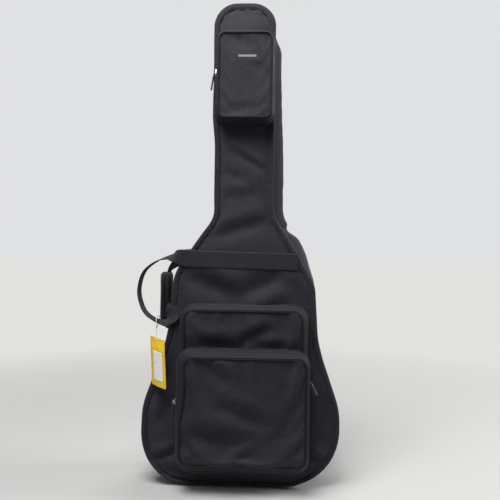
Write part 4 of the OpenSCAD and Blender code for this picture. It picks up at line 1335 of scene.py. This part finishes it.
def strap_pad(node, name):
    """Padded shoulder strap: a crowned pad with a bound edge and two quilting lines."""
    lo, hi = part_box(node)
    mesh = NODES[node].data
    co = np.array([v.co for v in mesh.vertices])
    zs = np.linspace(lo.z, hi.z, 60)
    left = np.array([np.interp(z, *edge_of(co, -1)) for z in zs])
    right = np.array([np.interp(z, *edge_of(co, 1)) for z in zs])
    cols = 25
    u = np.linspace(-1, 1, cols)
    mid, half = (left + right) / 2, (right - left) / 2
    x = mid[:, None] + half[:, None] * u[None]
    z = np.repeat(zs[:, None], cols, 1)
    t = np.repeat(np.linspace(0, 1, len(zs))[:, None], cols, 1)
    ends = 1 - np.exp(-t / 0.02) - np.exp(-(1 - t) / 0.02)
    crown = (1 - np.abs(u[None]) ** 5) * np.clip(ends, 0, 1)
    quilt = 1 - 0.32 * (np.exp(-((np.abs(u[None]) - 0.45) / 0.06) ** 2))
    y_in = np.full_like(x, lo.y - 1.5 * MM)
    thick = (hi.y - lo.y + 1 * MM) * (0.35 + 0.65 * crown * quilt)
    y_out = y_in + thick
    rows = []
    for i in range(len(zs)):
        front = np.column_stack([x[i], y_out[i], z[i]])
        rear = np.column_stack([x[i][::-1], y_in[i], z[i]])
        rows.append(np.vstack([front, rear]))
    pts = np.array(rows)
    n, m = pts.shape[:2]
    pts[:, :, 1] += (0.5 * MM * cloud(pts.reshape(-1, 3), 30.0, 71.0)).reshape(n, m)
    uv = np.stack([pts[:, :, 2], pts[:, :, 0]], axis=2)
    obj = new_object(name, pts.reshape(-1, 3), capped_faces(n, m, flip=True), uv.reshape(-1, 2), M_STRAP)
    dress(obj, "back_half", [node])
    edge = np.vstack([np.column_stack([left, y_in[:, 0] + 0.003, zs]),
                      np.column_stack([right, y_in[:, 0] + 0.003, zs])[::-1]])
    q, _, _ = resample(edge, 3 * MM)
    dress(tube(name + "_edge_tape", q, 2.0 * MM, M_BINDING, sides=8, warp=False), "back_half", [])
    for k in (-1, 1):
        j = int((cols - 1) * (0.5 + 0.45 / 2 * k))
        line = np.column_stack([x[2:-2, j], y_out[2:-2, j] + 0.2 * MM, z[2:-2, j]])
        dress(stitches(f"{name}_quilting_{k + 1}", line, (0, 1, 0), M_THREAD, every=4.5 * MM), "back_half",
              [])


def edge_of(co, side):
    """Height and x of one long edge of a flat CAD strap, sorted by height."""
    zs = np.unique(np.round(co[:, 2], 5))
    xs = np.array([(co[np.abs(co[:, 2] - z) < 1e-4,
                       0].max() if side > 0 else co[np.abs(co[:, 2] - z) < 1e-4, 0].min())
                   for z in zs])
    return zs, xs


strap_pad("strap_pad_left", "left_shoulder_pad")
strap_pad("strap_pad_right", "right_shoulder_pad")


def strap_hardware():
    lo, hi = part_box("strap_webbing")
    co = np.array([v.co for v in NODES["strap_webbing"].data.vertices])
    replaced = ["strap_webbing"]
    for side in (-1, 1):
        c = co[co[:, 0] * side > 0]
        top = c[c[:, 2] > hi.z - 1 * MM]
        low = c[c[:, 2] < lo.z + 1 * MM]
        a, b = top.mean(0), low.mean(0)
        a = a + (a - b) / np.linalg.norm(a - b) * 0.030
        path = curve_points([(a[0], a[1] + 3 * MM, a[2]),
                             ((a[0] + b[0]) / 2, a[1] + 4.5 * MM, (a[2] + b[2]) / 2),
                             (b[0], b[1], b[2]), (b[0] + side * 3 * MM, b[1] - 1 * MM, b[2] - 18 * MM)])
        obj = ribbon("adjusting_webbing_" + ("left" if side < 0 else "right"), path,
                     np.tile((1.0, 0, 0), (len(path), 1)), 25 * MM, 1.8 * MM, M_WEBBING, rib=0.10)
        dress(obj, "back_half", replaced)
        replaced = []
        tail = curve_points([(a[0], a[1] + 5 * MM, a[2] - 4 * MM),
                             (a[0] + side * 3 * MM, a[1] + 9 * MM, a[2] - 32 * MM),
                             (a[0] + side * 8 * MM, a[1] + 7 * MM, a[2] - 74 * MM)])
        obj = ribbon("webbing_tail_" + ("left" if side < 0 else "right"), tail,
                     np.tile((1.0, 0, 0), (len(tail), 1)),
                     25 * MM, 1.8 * MM, M_WEBBING, rib=0.10)
        dress(obj, "back_half", [])
    bevel("strap_ladder_locks", M_BUCKLE, 1.0 * MM)


strap_hardware()


def evenly(values, count):
    """The values round a closed ring, read again at count even steps."""
    return np.interp(np.linspace(0, 1, count, endpoint=False),
                     np.linspace(0, 1, len(values), endpoint=False), values)


def patches():
    """Sewn patches: the strap yoke and the two lower anchors, each a slightly padded cloth square."""
    co = np.array([v.co for v in NODES["strap_anchor_patches"].data.vertices])
    groups = [("strap_yoke_patch", co[co[:, 2] > 0.4]),
              ("left_anchor_patch", co[(co[:, 2] < 0.4) & (co[:, 0] < 0)]),
              ("right_anchor_patch", co[(co[:, 2] < 0.4) & (co[:, 0] > 0)])]
    replaced = ["strap_anchor_patches"]
    for name, c in groups:
        lo, hi = c.min(0), c.max(0)
        corners = [(hi[0], lo[2], 0.009), (hi[0], hi[2], 0.009), (lo[0], hi[2], 0.009), (lo[0], lo[2], 0.009)]
        rings = []
        for inset, dy in ((0, -1.5), (0, 0.8), (1.2, 1.7), (4.0, 2.1), (6.5, 1.6), (9.5, 2.4)):
            ring, _, _ = resample(rounded(corners, min(inset, 8.6) * MM), (hi[0] - lo[0]) / 14)
            ang = np.arctan2(ring[:, 1] - (lo[2] + hi[2]) / 2, ring[:, 0] - (lo[0] + hi[0]) / 2)
            ring = ring[np.argsort(ang)]
            rings.append((ring, back_surface(ring[:, 1]) + dy * MM))
        count = min(len(r[0]) for r in rings)
        pts = np.array([np.column_stack([evenly(values, count) for values in (r[:, 0], yy, r[:, 1])])
                        for r, yy in rings])
        n, m = pts.shape[:2]
        faces = capped_faces(n, m, flip=True)
        uv = np.stack([pts[:, :, 0], pts[:, :, 2]], axis=2)
        obj = new_object(name, pts.reshape(-1, 3), faces, uv.reshape(-1, 2), M_STRAP)
        dress(obj, "back_half", replaced)
        replaced = []


patches()


def hang_loop():
    lo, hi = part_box("hang_loop")
    y = lo.y + 1.5 * MM
    cx = 0.0
    keys = [(cx, y, lo.z), (cx, y + 0.5 * MM, lo.z + 6 * MM), (cx, hi.y - 1 * MM, (lo.z + hi.z) / 2 - 4 * MM),
            (cx, hi.y - 2 * MM, (lo.z + hi.z) / 2 + 8 * MM), (cx, y + 0.5 * MM, hi.z - 6 * MM),
            (cx, y - 1 * MM, hi.z)]
    path = curve_points(keys)
    path[:, 1] = np.maximum(path[:, 1], back_surface(path[:, 2]) + 3.2 * MM)
    obj = ribbon("hanging_loop", path, np.tile((1.0, 0, 0), (len(path), 1)), hi.x - lo.x, 1.8 * MM,
                 M_WEBBING, rib=0.10)
    dress(obj, "back_half", ["hang_loop"])


hang_loop()

bevel("base_guard", M_GUARD, 1.2 * MM)


# ---------------------------------------------------------------- hang tag
def hang_tag():
    """Bent card, a blank sticker and a thin clear cord. The card hangs a little forward of its CAD place, so
    that it clears the binding when it swings."""
    lo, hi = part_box("tag_card")
    centre = Vector(((lo.x + hi.x) / 2, (lo.y + hi.y) / 2, 0))
    angle = -math.atan2(hi.y - lo.y, hi.x - lo.x)
    width = math.hypot(hi.x - lo.x, hi.y - lo.y)
    lean, skew = 0.065, 0.15
    forward = 6 * MM
    bow, ripple, ripples = 2.5 * MM, 1.5 * MM, 24

    def place(u, z, off):
        curl = bow * (2 * u / width) ** 2 + ripple * math.sin((z - lo.z) * ripples)
        x = u * math.cos(angle) - (off + curl) * math.sin(angle)
        y = u * math.sin(angle) + (off + curl) * math.cos(angle)
        clear = forward * float(smooth(0, 0.03, hi.z - z))
        return (centre.x + x + (hi.z - z) * lean, centre.y + y - clear, z - skew * u)

    def sheet(name, u0, u1, z0, z1, off, thick, mat):
        nu, nz = 22, 46
        us, zs = np.linspace(u0, u1, nu), np.linspace(z0, z1, nz)
        pts = np.array([[place(u, z, off) for u in us] for z in zs])
        uv = np.stack(np.broadcast_arrays(us[None], zs[:, None]), axis=2)
        return grid_object(name, pts, uv, mat, thick=thick)
    card = sheet("price_card", -width / 2, width / 2, lo.z, hi.z, 0, 0.7 * MM, M_CARD)
    dress(card, "hang_tag", ["tag_card"])
    s_lo, s_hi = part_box("tag_sticker")
    sticker = sheet("blank_sticker", -width * 0.28, width * 0.34, s_lo.z, s_hi.z, -0.9 * MM, 0.3 * MM,
                    M_STICKER)
    dress(sticker, "hang_tag", ["tag_sticker"])
    c_lo, c_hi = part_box("tag_cord")
    x = (c_lo.x + c_hi.x) / 2
    eye = place(0, hi.z - 5 * MM, 0)
    keys = [(eye[0], eye[1] - 1.6 * MM, eye[2]), (x + 2 * MM, c_lo.y + 6 * MM, c_lo.z + 22 * MM),
            (x + 1 * MM, c_lo.y + 8 * MM, c_hi.z - 8 * MM), (x, c_lo.y + 16 * MM, c_hi.z - 1 * MM),
            (x, (c_lo.y + c_hi.y) / 2, c_hi.z), (x - 1 * MM, c_hi.y - 1 * MM, c_hi.z - 6 * MM),
            (x - 2 * MM, c_hi.y - 10 * MM, c_hi.z - 18 * MM),
            (x - 1 * MM, c_lo.y + 20 * MM, c_lo.z + 20 * MM),
            (eye[0] - 1 * MM, eye[1] + 2.0 * MM, eye[2] + 2 * MM), (eye[0], eye[1] + 1.6 * MM, eye[2])]
    k = curve_points(keys + keys[:1])
    cord = tube("clear_cord", k[:-1], 0.75 * MM, M_CORD, sides=8, warp=False)
    dress(cord, "hang_tag", ["tag_cord"])


hang_tag()


# ---------------------------------------------------------------- stage, light and camera
FLOOR_TONE = (0.455, 0.451, 0.443, 1)
FLOOR_GLOW = (0.76, 0.754, 0.74, 1)
WALL_TONE = (0.93, 0.94, 0.96, 1)


def seen_and_lit(nt, to_camera, always):
    """Strength that is higher where the camera looks at the surface than where it lights the bag."""
    seen = nt.nodes.new("ShaderNodeLightPath").outputs["Is Camera Ray"]
    return maths(nt, "ADD", maths(nt, "MULTIPLY", seen, to_camera), always)


def stage():
    """Pale floor that fades into the wall with distance, an even wall and four soft lights."""
    mat, nt, bsdf = nodes_of("pale_floor")
    bsdf.inputs["Base Color"].default_value = FLOOR_TONE
    bsdf.inputs["Roughness"].default_value = 0.85
    far = nt.nodes.new("ShaderNodeVectorMath")
    far.operation = "LENGTH"
    nt.links.new(nt.nodes.new("ShaderNodeTexCoord").outputs["Object"], far.inputs[0])
    glow = add(nt, "ShaderNodeEmission", Color=FLOOR_GLOW)
    nt.links.new(seen_and_lit(nt, 0.82, 0.18), glow.inputs["Strength"])
    blend = nt.nodes.new("ShaderNodeMixShader")
    nt.links.new(ramp(nt, far.outputs["Value"], 0.55, 1.8), blend.inputs["Fac"])
    nt.links.new(bsdf.outputs["BSDF"], blend.inputs[1])
    nt.links.new(glow.outputs["Emission"], blend.inputs[2])
    nt.links.new(blend.outputs["Shader"], nt.nodes["Material Output"].inputs["Surface"])
    floor = new_object("floor", [(-30, -30, 0), (30, -30, 0), (30, 30, 0), (-30, 30, 0)], [(0, 1, 2, 3)],
                       np.zeros((4, 2)), mat, smooth_shade=False)
    world = bpy.data.worlds.new("studio")
    bpy.context.scene.world = world
    world.use_nodes = True
    wnt = world.node_tree
    background = wnt.nodes["Background"]
    background.inputs["Color"].default_value = WALL_TONE
    wnt.links.new(seen_and_lit(wnt, 0.66, 0.14), background.inputs["Strength"])

    def area(name, at, target, size, power):
        light = bpy.data.lights.new(name, "AREA")
        light.size = size
        light.energy = power
        obj = bpy.data.objects.new(name, light)
        bpy.context.scene.collection.objects.link(obj)
        obj.location = at
        obj.rotation_euler = (Vector(target) - Vector(at)).to_track_quat("-Z", "Y").to_euler()
    area("overhead", (-0.35, -0.80, 2.12), (0, -0.05, 0.40), 1.1, 57)
    area("key", (-1.3, -1.3, 1.5), (0, 0, 0.80), 0.8, 4)
    area("side_fill", (2.0, 0.10, 1.3), (0, 0, 0.7), 0.8, 34)
    area("back_fill", (0.6, 2.2, 2.0), (0, 0, 0.5), 1.8, 36)


def tones():
    """Plain tones, without a film curve, so that the black cloth keeps its depth."""
    bpy.context.scene.view_settings.view_transform = "Standard"


def camera():
    """Level camera at half height, a little to the right, with a standard lens."""
    focal_share = 1.10
    sensor = 36
    bag_share = 0.968
    eye_level = 0.490
    cam = bpy.data.cameras.new("camera")
    cam.sensor_width = sensor
    cam.lens = sensor * focal_share
    obj = bpy.data.objects.new("camera", cam)
    bpy.context.scene.collection.objects.link(obj)
    height = TOP_Z
    distance = height / bag_share * focal_share
    at = Vector((0.065, FRONT_Y - distance, eye_level * height))
    target = Vector((0.0175, FRONT_Y, eye_level * height))
    obj.location = at
    direction = (target - at).to_track_quat("-Z", "Y")
    roll = math.radians(0.75)
    obj.rotation_euler = direction.to_euler()
    obj.rotation_euler.rotate_axis("Z", roll)
    bpy.context.scene.camera = obj


stage()
tones()
camera()
